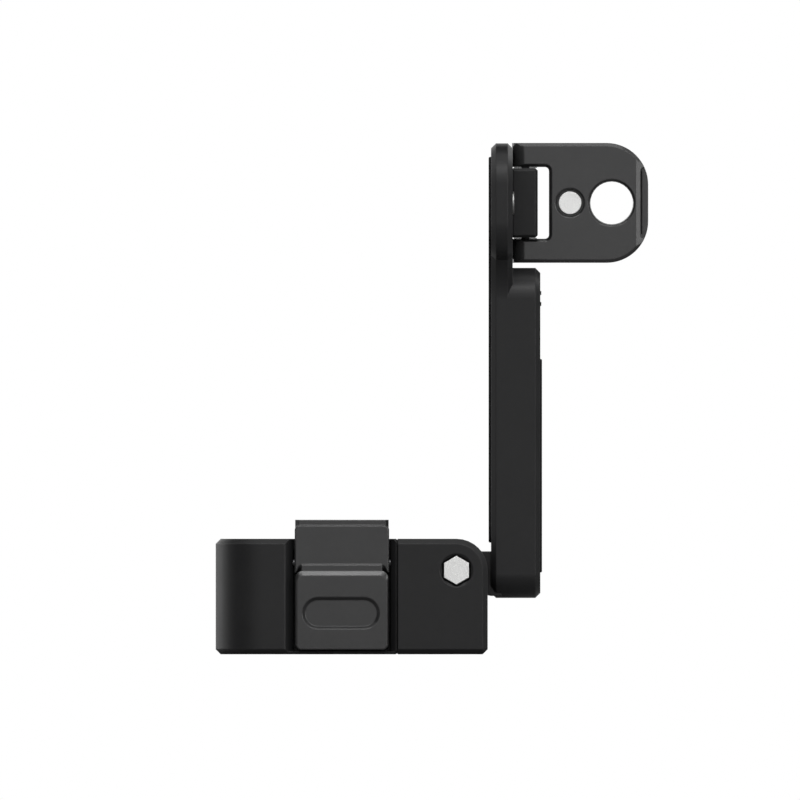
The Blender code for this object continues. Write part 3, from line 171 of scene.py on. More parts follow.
def smoothing_tree(name, turn):
    """Geometry nodes that shade all faces smooth and keep the edges over a turn sharp."""
    tree = bpy.data.node_groups.new(name, "GeometryNodeTree")
    tree.interface.new_socket("Geometry", in_out="INPUT", socket_type="NodeSocketGeometry")
    tree.interface.new_socket("Geometry", in_out="OUTPUT", socket_type="NodeSocketGeometry")
    start, end = tree.nodes.new("NodeGroupInput"), tree.nodes.new("NodeGroupOutput")
    plain = add_node(tree, "GeometryNodeRemoveAttribute",
                     {"Geometry": start.outputs["Geometry"], "Name": "custom_normal"})
    smooth = add_node(tree, "GeometryNodeSetShadeSmooth",
                      {"Geometry": plain.outputs["Geometry"], "Shade Smooth": True}, domain="FACE")
    bend = add_node(tree, "GeometryNodeInputMeshEdgeAngle").outputs["Unsigned Angle"]
    steep = reckon(tree, "GREATER_THAN", bend, math.radians(turn))
    sharp = add_node(tree, "GeometryNodeSetShadeSmooth",
                     {"Geometry": smooth.outputs["Geometry"], "Selection": steep,
                      "Shade Smooth": False}, domain="EDGE")
    tree.links.new(sharp.outputs["Geometry"], end.inputs["Geometry"])
    return tree


def shade_round(node, tree):
    """Gives a solid the stack of modifiers; its own mesh isn't touched."""
    node.modifiers.new("weld_corners", "WELD").merge_threshold = WELD_DISTANCE
    flats = node.modifiers.new("join_flats", "DECIMATE")
    flats.decimate_type = "DISSOLVE"
    flats.angle_limit = math.radians(FLAT_ANGLE)
    node.modifiers.new("mark_sharp", "NODES").node_group = tree
    weighted = node.modifiers.new("weigh_normals", "WEIGHTED_NORMAL")
    weighted.mode = "FACE_AREA"
    weighted.keep_sharp = True


milled = smoothing_tree("smooth_milled", SHALLOW_TURN)
lathed = smoothing_tree("smooth_turned", TURNED_TURN)
for part in frame["record"]["subparts"]:
    shade_round(nodes[part["node"]], lathed if part["material_slot"] in TURNED_SLOTS else milled)
print("smooth shading on", len(nodes), "solids")

# %% [markdown]
# ## The studio
# The mount stands on a pale matt floor that takes its shadow. Behind it everything is white, both
# for the camera and for what the metal mirrors. Light Path tells these rays apart from the ones
# that only bring light, so the white never adds light to the object. Light Path also makes the
# floor grey to every ray but the camera's, as a grey foil under a small product keeps it from
# being lit from below.

# %% Lay the floor
FLOOR_SIDE = 4.0
FLOOR_SUNK = 0.00005
FLOOR_CELLS = 8
FLOOR_COLOUR = (0.82, 0.82, 0.83, 1)
FLOOR_SHADE = (0.78, 0.78, 0.79, 1)
FLOOR_FOIL = (0.30, 0.30, 0.30, 1)
FLOOR_PATCH = 0.05
FLOOR_ROUGHNESS = 0.9
FLOOR_MIRROR = 0.1


def new_mesh(form, name):
    """Writes a modelled form to a mesh of its own."""
    mesh = bpy.data.meshes.new(name)
    form.to_mesh(mesh)
    form.free()
    return mesh


def new_finish(name):
    """An empty material with its Principled shader."""
    material = bpy.data.materials.new(name)
    material.use_nodes = True
    return material, material.node_tree, material.node_tree.nodes["Principled BSDF"]


form = bmesh.new()
bmesh.ops.create_grid(form, x_segments=FLOOR_CELLS, y_segments=FLOOR_CELLS, size=FLOOR_SIDE / 2)
floor = bpy.data.objects.new("studio_floor", new_mesh(form, "studio_floor"))
floor.location.z = cad_low.z - FLOOR_SUNK
bpy.context.scene.collection.objects.link(floor)

floor_finish, tree, shader = new_finish("studio_floor")
place = add_node(tree, "ShaderNodeTexCoord").outputs["Object"]
patches = add_node(tree, "ShaderNodeTexNoise", {"Vector": place, "Scale": 1 / FLOOR_PATCH})
seen = add_node(tree, "ShaderNodeLightPath").outputs["Is Camera Ray"]
pale = tint(tree, patches.outputs["Fac"], FLOOR_COLOUR, FLOOR_SHADE)
feed(tree, shader.inputs["Base Color"], tint(tree, seen, FLOOR_FOIL, pale))
shader.inputs["Roughness"].default_value = FLOOR_ROUGHNESS
shader.inputs["Specular IOR Level"].default_value = FLOOR_MIRROR
floor.data.materials.append(floor_finish)
print("floor at", round(floor.location.z, 5), "m")

# %% Surround it with white
AMBIENT = 0.55
WHITE = (1, 1, 1, 1)

world = bpy.data.worlds.new("white_studio")
bpy.context.scene.world = world
world.use_nodes = True
tree = world.node_tree
tree.nodes.clear()
rays = add_node(tree, "ShaderNodeLightPath").outputs
seen = reckon(tree, "MAXIMUM", rays["Is Camera Ray"], rays["Is Glossy Ray"])
seen = reckon(tree, "MAXIMUM", seen, rays["Is Transmission Ray"])
soft = add_node(tree, "ShaderNodeBackground", {"Color": WHITE, "Strength": AMBIENT})
white = add_node(tree, "ShaderNodeBackground", {"Color": WHITE, "Strength": 1})
either = add_node(tree, "ShaderNodeMixShader", {"Fac": seen})
tree.links.new(soft.outputs[0], either.inputs[1])
tree.links.new(white.outputs[0], either.inputs[2])
sky = add_node(tree, "ShaderNodeOutputWorld")
tree.links.new(either.outputs[0], sky.inputs["Surface"])
print("ambient light:", AMBIENT)

# %% [markdown]
# ## Lamps and screens
# Dark metal shows little colour of its own. What the eye reads is where it mirrors lamps and
# where it doesn't. A wide lamp stands high in front and a narrow one overhead, so that faces
# tilted up light up. A weak one fills the front, and lamps at the sides draw the upright edges.
# Black screens, as photographers use them, stand to the left, to the right and behind the
# overhead lamp. They are seen by mirror rays only. The left one leaves a dark band along the
# round left end.

# %% Hang the lamps
AIM = Vector((0.010, 0, 0.045))


def direction(azimuth, elevation):
    """Unit vector from the mount: azimuth 0 is the front and 90 the right, in degrees."""
    a, e = math.radians(azimuth), math.radians(elevation)
    return Vector((math.sin(a) * math.cos(e), -math.cos(a) * math.cos(e), math.sin(e)))


def face_mount(thing, azimuth, elevation, distance):
    """Sets a lamp or a card at a distance from the mount, turned towards it."""
    towards = direction(azimuth, elevation)
    thing.location = AIM + towards * distance
    thing.rotation_euler = towards.to_track_quat("Z", "Y").to_euler()
    bpy.context.scene.collection.objects.link(thing)


def hang_lamp(name, azimuth, elevation, distance, width, height, radiance):
    """An area lamp that faces the mount and shines with a given radiance."""
    lamp = bpy.data.lights.new(name, "AREA")
    lamp.shape = "RECTANGLE"
    lamp.size, lamp.size_y = width, height
    lamp.energy = radiance * math.pi * width * height
    face_mount(bpy.data.objects.new(name, lamp), azimuth, elevation, distance)
    print(name, "shines with", round(lamp.energy, 2), "W")


hang_lamp("high_front_lamp", azimuth=0, elevation=45, distance=1.0, width=0.9, height=0.31, radiance=5.6)
hang_lamp("overhead_lamp", azimuth=0, elevation=88, distance=1.0, width=0.9, height=0.10, radiance=2.8)
hang_lamp("front_fill_lamp", azimuth=0, elevation=6, distance=3.0, width=1.5, height=0.60, radiance=0.6)
hang_lamp("right_front_lamp", azimuth=48, elevation=0, distance=1.0, width=0.24, height=0.9, radiance=4.2)
hang_lamp("right_rim_lamp", azimuth=125, elevation=35, distance=1.0, width=0.5, height=0.4, radiance=2.2)
hang_lamp("left_rim_lamp", azimuth=-122, elevation=0, distance=1.0, width=0.6, height=0.9, radiance=1.5)

# %% Stand the black screens
SCREEN_DISTANCE = 0.9
SCREEN_BLACK = (0.002, 0.002, 0.002, 1)

black_card, tree, shader = new_finish("black_card")
shader.inputs["Base Color"].default_value = SCREEN_BLACK
shader.inputs["Specular IOR Level"].default_value = 0


def stand_screen(name, azimuth, elevation, width, height):
    """A black card that only mirror rays see."""
    half_w, half_h = width / 2, height / 2
    corners = [(-half_w, -half_h, 0), (half_w, -half_h, 0), (half_w, half_h, 0), (-half_w, half_h, 0)]
    mesh = bpy.data.meshes.new(name)
    mesh.from_pydata(corners, [], [(0, 1, 2, 3)])
    mesh.materials.append(black_card)
    card = bpy.data.objects.new(name, mesh)
    face_mount(card, azimuth, elevation, SCREEN_DISTANCE)
    card.visible_camera = False
    card.visible_diffuse = False
    card.visible_shadow = False
    card.visible_transmission = False
    print(name, "stands at azimuth", azimuth)


stand_screen("left_screen", azimuth=-58, elevation=0, width=1.0, height=1.4)
stand_screen("right_screen", azimuth=92, elevation=0, width=0.35, height=1.4)
stand_screen("top_screen", azimuth=180, elevation=62, width=1.6, height=0.75)

# %% [markdown]
# ## Soft edges
# No machined edge is knife sharp. It is broken by one to three tenths of a millimetre, and that
# thin round strip catches light as a bright line. Bevelling every solid would cost many faces, so
# the Bevel node bends the normal near an edge instead. Where it bends it, the group also puts out
# a mask, because anodising is thinner and paler there. The finishes paint a pale colour along
# that mask, which is partly wear and partly a painted highlight.

# %% Build the soft edge group
EDGE_SAMPLES = 8
# An edge that counts as worn also takes the pale painted highlight in the anodised finishes.
EDGE_TURN = 0.02            # how far a normal bends before the edge counts as worn
EDGE_FULL_TURN = 0.14


def shader_group(name, inputs, outputs):
    """Starts a node group with named inputs and outputs."""
    group = bpy.data.node_groups.new(name, "ShaderNodeTree")
    for title, kind, value in inputs:
        socket = group.interface.new_socket(title, in_out="INPUT", socket_type=kind)
        socket.default_value = value
    for title, kind in outputs:
        group.interface.new_socket(title, in_out="OUTPUT", socket_type=kind)
    given = group.nodes.new("NodeGroupInput").outputs
    return group, given, group.nodes.new("NodeGroupOutput").inputs


soft_edge, given, result = shader_group(
    "soft_edge",
    [("Radius", "NodeSocketFloat", 0.00015)],
    [("Normal", "NodeSocketVector"), ("Edge", "NodeSocketFloat")])
bent = add_node(soft_edge, "ShaderNodeBevel", {"Radius": given["Radius"]}, samples=EDGE_SAMPLES)
plain = add_node(soft_edge, "ShaderNodeNewGeometry")
agree = add_node(soft_edge, "ShaderNodeVectorMath", operation="DOT_PRODUCT")
soft_edge.links.new(bent.outputs["Normal"], agree.inputs[0])
soft_edge.links.new(plain.outputs["Normal"], agree.inputs[1])
turned = reckon(soft_edge, "SUBTRACT", 1.0, agree.outputs["Value"])
feed(soft_edge, result["Normal"], bent.outputs["Normal"])
feed(soft_edge, result["Edge"], spread(soft_edge, turned, EDGE_TURN, EDGE_FULL_TURN, 0, 1))
print("group:", soft_edge.name)

# %% [markdown]
# ## Blasted grain
# Before anodising, the parts are blasted with fine glass beads. Seen close, that leaves a field
# of tiny dimples and very faint clouds where the beads hit harder. One group gives both: a
# height for a Bump node and a cloud value for colour and roughness.

# %% Build the blasted grain group
CLOUD_STARTS, CLOUD_FULL = 0.3, 0.7     # values of the noise
SPECK_REACH = 0.22                      # share of a cell's width that a speck takes up

blasted_grain, given, result = shader_group(
    "blasted_grain",
    [("Dimple Size", "NodeSocketFloat", 0.00012), ("Cloud Size", "NodeSocketFloat", 0.006)],
    [("Height", "NodeSocketFloat"), ("Cloud", "NodeSocketFloat"), ("Speck", "NodeSocketFloat")])
place = add_node(blasted_grain, "ShaderNodeTexCoord").outputs["Object"]
fineness = reckon(blasted_grain, "DIVIDE", 1.0, given["Dimple Size"])
dimples = add_node(blasted_grain, "ShaderNodeTexNoise",
                   {"Vector": place, "Scale": fineness, "Detail": 2.0, "Roughness": 0.6})
coarseness = reckon(blasted_grain, "DIVIDE", 1.0, given["Cloud Size"])
clouds = add_node(blasted_grain, "ShaderNodeTexNoise",
                  {"Vector": place, "Scale": coarseness, "Detail": 3.0, "Roughness": 0.55})
specks = add_node(blasted_grain, "ShaderNodeTexVoronoi", {"Vector": place, "Scale": fineness})
feed(blasted_grain, result["Height"], dimples.outputs["Fac"])
feed(blasted_grain, result["Cloud"],
     spread(blasted_grain, clouds.outputs["Fac"], CLOUD_STARTS, CLOUD_FULL, 0, 1))
feed(blasted_grain, result["Speck"],
     spread(blasted_grain, specks.outputs["Distance"], 0, SPECK_REACH, 1, 0))
print("group:", blasted_grain.name)

# %% [markdown]
# ## Handling marks
# A part that is clamped, folded and pocketed picks up faint rubbed patches. They show as a
# slightly smoother sheen on the dyed metal and a duller one on bare steel, never as a colour.
# Stretched noise with a threshold gives sparse marks, and a second noise decides where hands
# really reach.

# %% Build the handling marks group
MARK_STRETCH = (1.0, 1.0, 0.25)         # marks are four times as long upright as they are wide
MARK_STARTS, MARK_FULL = 0.85, 0.75     # values of the noise; the share of marks lowers the start
HAND_SHARE = 0.2                        # scale of the second noise to that of the marks

handling, given, result = shader_group(
    "handling",
    [("Mark Size", "NodeSocketFloat", 0.003), ("Share", "NodeSocketFloat", 0.35)],
    [("Rubbed", "NodeSocketFloat")])
place = add_node(handling, "ShaderNodeTexCoord").outputs["Object"]
stretched = add_node(handling, "ShaderNodeMapping", {"Vector": place, "Scale": MARK_STRETCH})
mark_scale = reckon(handling, "DIVIDE", 1.0, given["Mark Size"])
marks = add_node(handling, "ShaderNodeTexNoise",
                 {"Vector": stretched.outputs["Vector"], "Scale": mark_scale, "Detail": 4.0})
reach = add_node(handling, "ShaderNodeTexNoise",
                 {"Vector": place, "Scale": reckon(handling, "MULTIPLY", mark_scale, HAND_SHARE)})
mark_starts = reckon(handling, "SUBTRACT", MARK_STARTS, given["Share"])
rubbed = spread(handling, marks.outputs["Fac"], mark_starts, MARK_FULL, 0, 1)
feed(handling, result["Rubbed"], reckon(handling, "MULTIPLY", rubbed, reach.outputs["Fac"]))
print("group:", handling.name)

# %% [markdown]
# ## Anodised aluminium
# The seat, the hinge block, the knuckle and the arm are black anodised. The latches and the tab
# are the same metal in a lighter, slicker grey. Dye fills the anodic layer, so both act as a
# dark coating with a weak mirror. They share one recipe and one grain, and differ in colour,
# gloss and the width of their soft edges.

# %% A recipe for anodised finishes
DIMPLE_SIZE = 0.00014
DIMPLE_DEPTH = 0.00002
DIMPLE_STRENGTH = 0.18
CLOUD_SIZE = 0.007
CLOUD_ROUGHER = 0.05
SPECK_STRENGTH = 0.25
RUB_SIZE = 0.0035
RUB_SHARE = 0.30


def use_group(tree, group, **values):
    """Places a group in a material with its own values; underscores stand for spaces."""
    made = tree.nodes.new("ShaderNodeGroup")
    made.node_tree = group
    for key, value in values.items():
        feed(tree, made.inputs[key.replace("_", " ")], value)
    return made.outputs


def emboss(tree, shader, height, normal, strength, depth):
    """Raises a height over a normal that is already bent at the edges."""
    bump = add_node(tree, "ShaderNodeBump", {"Strength": strength, "Distance": depth,
                                             "Height": height, "Normal": normal})
    feed(tree, shader.inputs["Normal"], bump.outputs["Normal"])


def anodised(name, colour, cloud_colour, pale_and_highlight_colour, roughness, slick, mirror, edge_radius):
    """Blasted and dyed aluminium: clouded colour, edges paled for wear and a painted highlight, fine
    dimples.
    """
    material, tree, shader = new_finish(name)
    edge = use_group(tree, soft_edge, Radius=edge_radius)
    grain = use_group(tree, blasted_grain, Dimple_Size=DIMPLE_SIZE, Cloud_Size=CLOUD_SIZE)
    hands = use_group(tree, handling, Mark_Size=RUB_SIZE, Share=RUB_SHARE)
    dyed = tint(tree, grain["Cloud"], colour, cloud_colour)
    specks = reckon(tree, "MULTIPLY", grain["Speck"], SPECK_STRENGTH)
    speckled = tint(tree, specks, dyed, pale_and_highlight_colour)
    # Edges take the pale colour: partly worn anodising, partly a painted highlight.
    feed(tree, shader.inputs["Base Color"], tint(tree, edge["Edge"], speckled, pale_and_highlight_colour))
    clouded = spread(tree, grain["Cloud"], 0, 1, roughness, roughness + CLOUD_ROUGHER)
    worn = reckon(tree, "MAXIMUM", hands["Rubbed"], edge["Edge"])
    smoothed = reckon(tree, "MULTIPLY", worn, slick)
    feed(tree, shader.inputs["Roughness"], reckon(tree, "SUBTRACT", clouded, smoothed))
    emboss(tree, shader, grain["Height"], edge["Normal"], DIMPLE_STRENGTH, DIMPLE_DEPTH)
    shader.inputs["Specular IOR Level"].default_value = mirror
    print("finish:", name)
    return material


# %% Mix the black and the grey
# The paler edge colour of each stands for worn anodising and for a painted highlight along the edges.
black_anodised = anodised(
    "black_anodised", colour=(0.0112, 0.0112, 0.0117, 1), cloud_colour=(0.0126, 0.0126, 0.0131, 1),
    pale_and_highlight_colour=(0.026, 0.026, 0.0265, 1), roughness=0.40, slick=0.10, mirror=0.245,
    edge_radius=0.00030)
grey_anodised = anodised(
    "grey_anodised", colour=(0.0180, 0.0180, 0.0184, 1), cloud_colour=(0.0205, 0.0205, 0.0209, 1),
    pale_and_highlight_colour=(0.048, 0.048, 0.0485, 1), roughness=0.18, slick=0.04, mirror=0.50,
    edge_radius=0.00028)

# %% [markdown]
# ## Turned steel
# Pins, screws and discs are turned on a lathe, which leaves fine rings round their axis. The
# rings come from the distance to that axis, so the group asks for a point on it and for its
# direction. Noise along the radius makes some rings deeper than others.

# %% Build the turned rings group
RING_STARTS, RING_FULL = 0.35, 0.65     # values of the noise

turned_rings, given, result = shader_group(
    "turned_rings",
    [("Centre", "NodeSocketVector", (0, 0, 0)), ("Axis", "NodeSocketVector", (0, 1, 0)),
     ("Ring Width", "NodeSocketFloat", 0.00005)],
    [("Height", "NodeSocketFloat"), ("Ring", "NodeSocketFloat")])
place = add_node(turned_rings, "ShaderNodeTexCoord").outputs["Object"]
offset = add_node(turned_rings, "ShaderNodeVectorMath", operation="SUBTRACT")
turned_rings.links.new(place, offset.inputs[0])
turned_rings.links.new(given["Centre"], offset.inputs[1])
across = add_node(turned_rings, "ShaderNodeVectorMath", operation="CROSS_PRODUCT")
turned_rings.links.new(offset.outputs["Vector"], across.inputs[0])
turned_rings.links.new(given["Axis"], across.inputs[1])
radius = add_node(turned_rings, "ShaderNodeVectorMath", operation="LENGTH")
turned_rings.links.new(across.outputs["Vector"], radius.inputs[0])
ring_count = reckon(turned_rings, "DIVIDE", radius.outputs["Value"], given["Ring Width"])
rings = add_node(turned_rings, "ShaderNodeTexNoise", {"W": ring_count, "Scale": 1.0, "Detail": 2.0},
                 noise_dimensions="1D")
feed(turned_rings, result["Height"], rings.outputs["Fac"])
feed(turned_rings, result["Ring"],
     spread(turned_rings, rings.outputs["Fac"], RING_STARTS, RING_FULL, 0, 1))
print("group:", turned_rings.name)

# %% A recipe for turned metal
TURNED_EDGE = 0.00012
RING_WIDTH = 0.00006
RING_DEPTH = 0.00001
RING_STRENGTH = 0.10
RING_ROUGHER = 0.06
TURNED_RUB_SIZE = 0.0015
TURNED_RUB_SHARE = 0.40
TURNED_RUB_ROUGHER = 0.06
ALONG = {"X": (1, 0, 0), "Y": (0, 1, 0), "Z": (0, 0, 1)}
METALS = {                  # colour, colour of the rings and roughness
    "steel": ((0.73, 0.73, 0.72, 1), (0.70, 0.70, 0.695, 1), 0.26),
    "spring_steel": ((0.73, 0.73, 0.72, 1), (0.70, 0.70, 0.695, 1), 0.24),
    "dull_steel": ((0.42, 0.42, 0.415, 1), (0.37, 0.37, 0.365, 1), 0.30),
    "black_steel": ((0.060, 0.060, 0.062, 1), (0.050, 0.050, 0.052, 1), 0.14),
    "brass": ((0.66, 0.52, 0.27, 1), (0.60, 0.46, 0.23, 1), 0.32),
}


def middle(node):
    """The middle of a solid's box."""
    low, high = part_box(node)
    return (low + high) / 2


def turned_metal(name, node, axis, metal):
    """Bare turned metal with rings round an axis through the middle of a solid."""
    colour, ring_colour, roughness = METALS[metal]
    material, tree, shader = new_finish(name)
    edge = use_group(tree, soft_edge, Radius=TURNED_EDGE)
    rings = use_group(tree, turned_rings, Centre=middle(node), Axis=ALONG[axis], Ring_Width=RING_WIDTH)
    hands = use_group(tree, handling, Mark_Size=TURNED_RUB_SIZE, Share=TURNED_RUB_SHARE)
    feed(tree, shader.inputs["Base Color"], tint(tree, rings["Ring"], colour, ring_colour))
    shader.inputs["Metallic"].default_value = 1
    ringed = spread(tree, rings["Ring"], 0, 1, roughness, roughness + RING_ROUGHER)
    dulled = reckon(tree, "MULTIPLY", hands["Rubbed"], TURNED_RUB_ROUGHER)
    feed(tree, shader.inputs["Roughness"], reckon(tree, "ADD", ringed, dulled))
    emboss(tree, shader, rings["Height"], edge["Normal"], RING_STRENGTH, RING_DEPTH)
    return material


TURNED_PIECES = {           # the metal of each solid, and the axis that it was turned on
    "seat_magnet_left": ("steel", "Z"),
    "seat_magnet_right": ("steel", "Z"),
    "tripod_insert": ("steel", "Z"),
    "block_screw_front": ("steel", "X"),
    "block_screw_rear": ("steel", "X"),
    "pivot_bolt": ("steel", "Y"),
    "pivot_nut": ("steel", "Y"),
    "knuckle_screw_low": ("steel", "X"),
    "knuckle_screw_high": ("steel", "X"),
    "tab_disc": ("steel", "Y"),
    "head_disc": ("dull_steel", "X"),
    "front_latch_pin": ("black_steel", "X"),
    "rear_latch_pin": ("black_steel", "X"),
    "arm_cap_screw": ("black_steel", "X"),
    "tab_hinge_pin": ("black_steel", "Z"),
    "friction_washer_front": ("brass", "Y"),
    "friction_washer_rear": ("brass", "Y"),
}
print("turned pieces:", len(TURNED_PIECES))

# %% [markdown]
# ## Moulded silicone
# The pads are matt black rubber. A mould gives them a skin of very small round pips, and lint
# clings to them. A Voronoi pattern makes the pips and a thresholded noise the lint.

# %% Build the moulded pips group
PIP_TOP, PIP_FOOT = 0.1, 0.5            # distances from a pip's middle, as shares of a cell
LINT_STARTS, LINT_FULL = 0.74, 0.80     # values of the noise
LINT_SHARE = 0.7                        # scale of the lint to that of the pips

moulded_pips, given, result = shader_group(
    "moulded_pips",
    [("Pip Size", "NodeSocketFloat", 0.0003)],
    [("Height", "NodeSocketFloat"), ("Lint", "NodeSocketFloat")])
place = add_node(moulded_pips, "ShaderNodeTexCoord").outputs["Object"]
pip_scale = reckon(moulded_pips, "DIVIDE", 1.0, given["Pip Size"])
pips = add_node(moulded_pips, "ShaderNodeTexVoronoi",
                {"Vector": place, "Scale": pip_scale, "Randomness": 0.35})
lint_scale = reckon(moulded_pips, "MULTIPLY", pip_scale, LINT_SHARE)
lint = add_node(moulded_pips, "ShaderNodeTexNoise",
                {"Vector": place, "Scale": lint_scale, "Detail": 1.0})
feed(moulded_pips, result["Height"],
     spread(moulded_pips, pips.outputs["Distance"], PIP_TOP, PIP_FOOT, 1, 0))
feed(moulded_pips, result["Lint"],
     spread(moulded_pips, lint.outputs["Fac"], LINT_STARTS, LINT_FULL, 0, 1))
print("group:", moulded_pips.name)

# %% Mix the silicone
RUBBER = (0.009, 0.009, 0.0095, 1)
RUBBER_CLOUD = (0.012, 0.012, 0.0125, 1)
RUBBER_EDGE = (0.016, 0.016, 0.016, 1)
LINT_COLOUR = (0.06, 0.06, 0.06, 1)
LINT_STRENGTH = 0.35
RUBBER_EDGE_RADIUS = 0.0001
RUBBER_GRAIN_SIZE = 0.0002
RUBBER_CLOUD_SIZE = 0.004
RUBBER_SMOOTHEST, RUBBER_ROUGHEST = 0.74, 0.84
RUBBER_MIRROR = 0.08
PIP_SIZE = 0.0003
PIP_DEPTH = 0.00003
PIP_STRENGTH = 0.35

silicone, tree, shader = new_finish("silicone")
edge = use_group(tree, soft_edge, Radius=RUBBER_EDGE_RADIUS)
pips = use_group(tree, moulded_pips, Pip_Size=PIP_SIZE)
clouds = use_group(tree, blasted_grain, Dimple_Size=RUBBER_GRAIN_SIZE, Cloud_Size=RUBBER_CLOUD_SIZE)
rubber = tint(tree, clouds["Cloud"], RUBBER, RUBBER_CLOUD)
dusty = tint(tree, reckon(tree, "MULTIPLY", pips["Lint"], LINT_STRENGTH), rubber, LINT_COLOUR)
feed(tree, shader.inputs["Base Color"], tint(tree, edge["Edge"], dusty, RUBBER_EDGE))
feed(tree, shader.inputs["Roughness"],
     spread(tree, clouds["Cloud"], 0, 1, RUBBER_SMOOTHEST, RUBBER_ROUGHEST))
emboss(tree, shader, pips["Height"], edge["Normal"], PIP_STRENGTH, PIP_DEPTH)
shader.inputs["Specular IOR Level"].default_value = RUBBER_MIRROR
print("finish:", silicone.name)

# %% [markdown]
# ## Dress the solids
# The solids that already have their right shape stay as they are and only take a finish. The
# record names a slot for each, so the slot picks the recipe. Each turned piece gets a material
# of its own, because the rings need its axis.

# %% Hand out the finishes
PLAIN_FINISHES = {          # by slot, because the solids' own materials already hold these names
    "black_anodised": black_anodised,
    "grey_anodised": grey_anodised,
    "silicone": silicone,
}


def dress(name, material):
    """Puts a finish in the one material slot that a solid came with."""
    nodes[name].material_slots[0].material = material


came_with = {name: node.material_slots[0].material for name, node in nodes.items()}
for part in frame["record"]["subparts"]:
    if part["material_slot"] in PLAIN_FINISHES:
        dress(part["node"], PLAIN_FINISHES[part["material_slot"]])
for name, (metal, axis) in TURNED_PIECES.items():
    dress(name, turned_metal(f"{name}_{metal}", name, axis, metal))
dressed = [name for name, old in came_with.items() if nodes[name].material_slots[0].material != old]
print("dressed:", len(dressed), "of", len(nodes))

# %% [markdown]
# ## The ribbed seat pad
# The camera rests on a rubber pad with low ribs that grip its foot. The pad is one moulded
# sheet with a round plan corner and a soft top edge. A grid laid over that plan, with its
# height from a formula, gives ribs and edge in one closed skin.

# %% Mould the seat pad
PAD_CORNER = 0.0020
PAD_EDGE = 0.00035
RIB_PITCH = 0.0012
RIB_HEIGHT = 0.00016
PAD_ROWS = 160
PAD_COLUMNS = 48


def add_piece(name, mesh, body, material):
    """Adds a piece that rides on a body and takes a finish."""
    piece = bpy.data.objects.new(name, mesh)
    bpy.context.scene.collection.objects.link(piece)
    mesh.shade_smooth()
    mesh.materials.append(material)
    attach(piece, body)
    print(name, "has", len(mesh.polygons), "faces")
    return piece


def half_width_at(y, half_x, half_y, corner):
    """Half the pad's width at a place along its depth."""
    past = max(abs(y) - (half_y - corner), 0)
    return half_x - corner + math.sqrt(max(corner ** 2 - past ** 2, 0))


def edge_drop(distance, radius):
    """How far a quarter round has dropped at a distance from the rim."""
    inside = min(distance / radius, 1)
    return radius * (1 - math.sqrt(1 - (1 - inside) ** 2))


def rib_drop(y, reach):
    """Depth below the crest of the ribs, fading out before the rim."""
    wave = (1 - math.cos(2 * math.pi * y / RIB_PITCH)) / 2
    return RIB_HEIGHT * wave * min(reach / RIB_PITCH, 1)


def mould_pad():
    """A closed skin in the space of the pad's solid: a ribbed top, a wall and a flat foot."""
    low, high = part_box("seat_pad")
    centre = middle("seat_pad")
    half_x, half_y = (high.x - low.x) / 2, (high.y - low.y) / 2
    form = bmesh.new()
    top = []
    for row in range(PAD_ROWS + 1):
        y = half_y * (2 * row / PAD_ROWS - 1)
        width = half_width_at(y, half_x, half_y, PAD_CORNER)
        line = []
        for column in range(PAD_COLUMNS + 1):
            u = math.sin(math.pi * (column / PAD_COLUMNS - 0.5))
            x = u * width
            to_rim = min(width - abs(x), half_y - abs(y))
            z = high.z - edge_drop(to_rim, PAD_EDGE) - rib_drop(y, to_rim)
            line.append(form.verts.new((centre.x + x, centre.y + y, z)))
        top.append(line)
    for near, far in zip(top, top[1:]):
        for i in range(PAD_COLUMNS):
            form.faces.new((near[i], near[i + 1], far[i + 1], far[i]))
    left, right = [line[0] for line in top], [line[-1] for line in top]
    rim = top[0] + right[1:] + top[-1][-2::-1] + left[-2:0:-1]
    foot = [form.verts.new((v.co.x, v.co.y, low.z)) for v in rim]
    for i in range(len(rim)):
        form.faces.new((rim[i - 1], foot[i - 1], foot[i], rim[i]))
    form.faces.new(foot)
    bmesh.ops.recalc_face_normals(form, faces=form.faces)
    return new_mesh(form, "ribbed_seat_pad")


seat_pad = add_piece("ribbed_seat_pad", mould_pad(), "seat", silicone)
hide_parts("seat_pad")

# %% [markdown]
# ## The soft strips on the arm
# The arm's inner face carries a pad that follows its outline, and its outer face a narrow grip
# strip. Both are cut from sheet with a rolled edge. Their outlines are already right in the
# solids, so a copy is welded and its outer rim rounded over in several steps.

# %% Round over the arm's strips
STRIP_WELD = 0.00001
STRIP_FLAT_ANGLE = 0.1
FACE_PAD_ROLL = 0.0003
GRIP_STRIP_ROLL = 0.00025
ROLL_STEPS = 5
ROUND_PROFILE = 0.5


def rolled_copy(node, name, facing, radius):
    """A copy of a flat solid whose rim on the side that it faces along x is rounded over."""
    form = bmesh.new()
    form.from_mesh(nodes[node].data)
    bmesh.ops.remove_doubles(form, verts=form.verts, dist=STRIP_WELD)
    bmesh.ops.dissolve_limit(form, angle_limit=math.radians(STRIP_FLAT_ANGLE),
                             verts=form.verts, edges=form.edges)
    low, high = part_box(node)
    face_x = low.x if facing < 0 else high.x
    rim = [e for e in form.edges if all(abs(v.co.x - face_x) < STRIP_WELD for v in e.verts)]
    bmesh.ops.bevel(form, geom=rim, offset=radius, segments=ROLL_STEPS, profile=ROUND_PROFILE,
                    affect="EDGES", clamp_overlap=True)
    return new_mesh(form, name)


for node, name, facing, roll in (("arm_face_pad", "rolled_face_pad", -1, FACE_PAD_ROLL),
                                 ("arm_grip_strip", "rolled_grip_strip", 1, GRIP_STRIP_ROLL)):
    strip = add_piece(name, rolled_copy(node, name, facing, roll), "arm", silicone)
    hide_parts(node)

# %% [markdown]
# ## Return springs
# Behind each thumb plate a coil of spring wire pushes the lever out. Its end turns lie flat and
# closed, and the turns between them climb. Both coils are wound from the lever inwards, so the
# rear one is the mirror image of the front one, as the levers are.

# %% Wind the springs
WIRE = 0.00045
TURNS = 4
STEPS_A_TURN = 28
WIRE_SIDES = 10
CLOSED_PITCH = 0.9 * WIRE   # a closed end turn climbs a little less than the wire's thickness
CLOSED_SHARE = 0.18


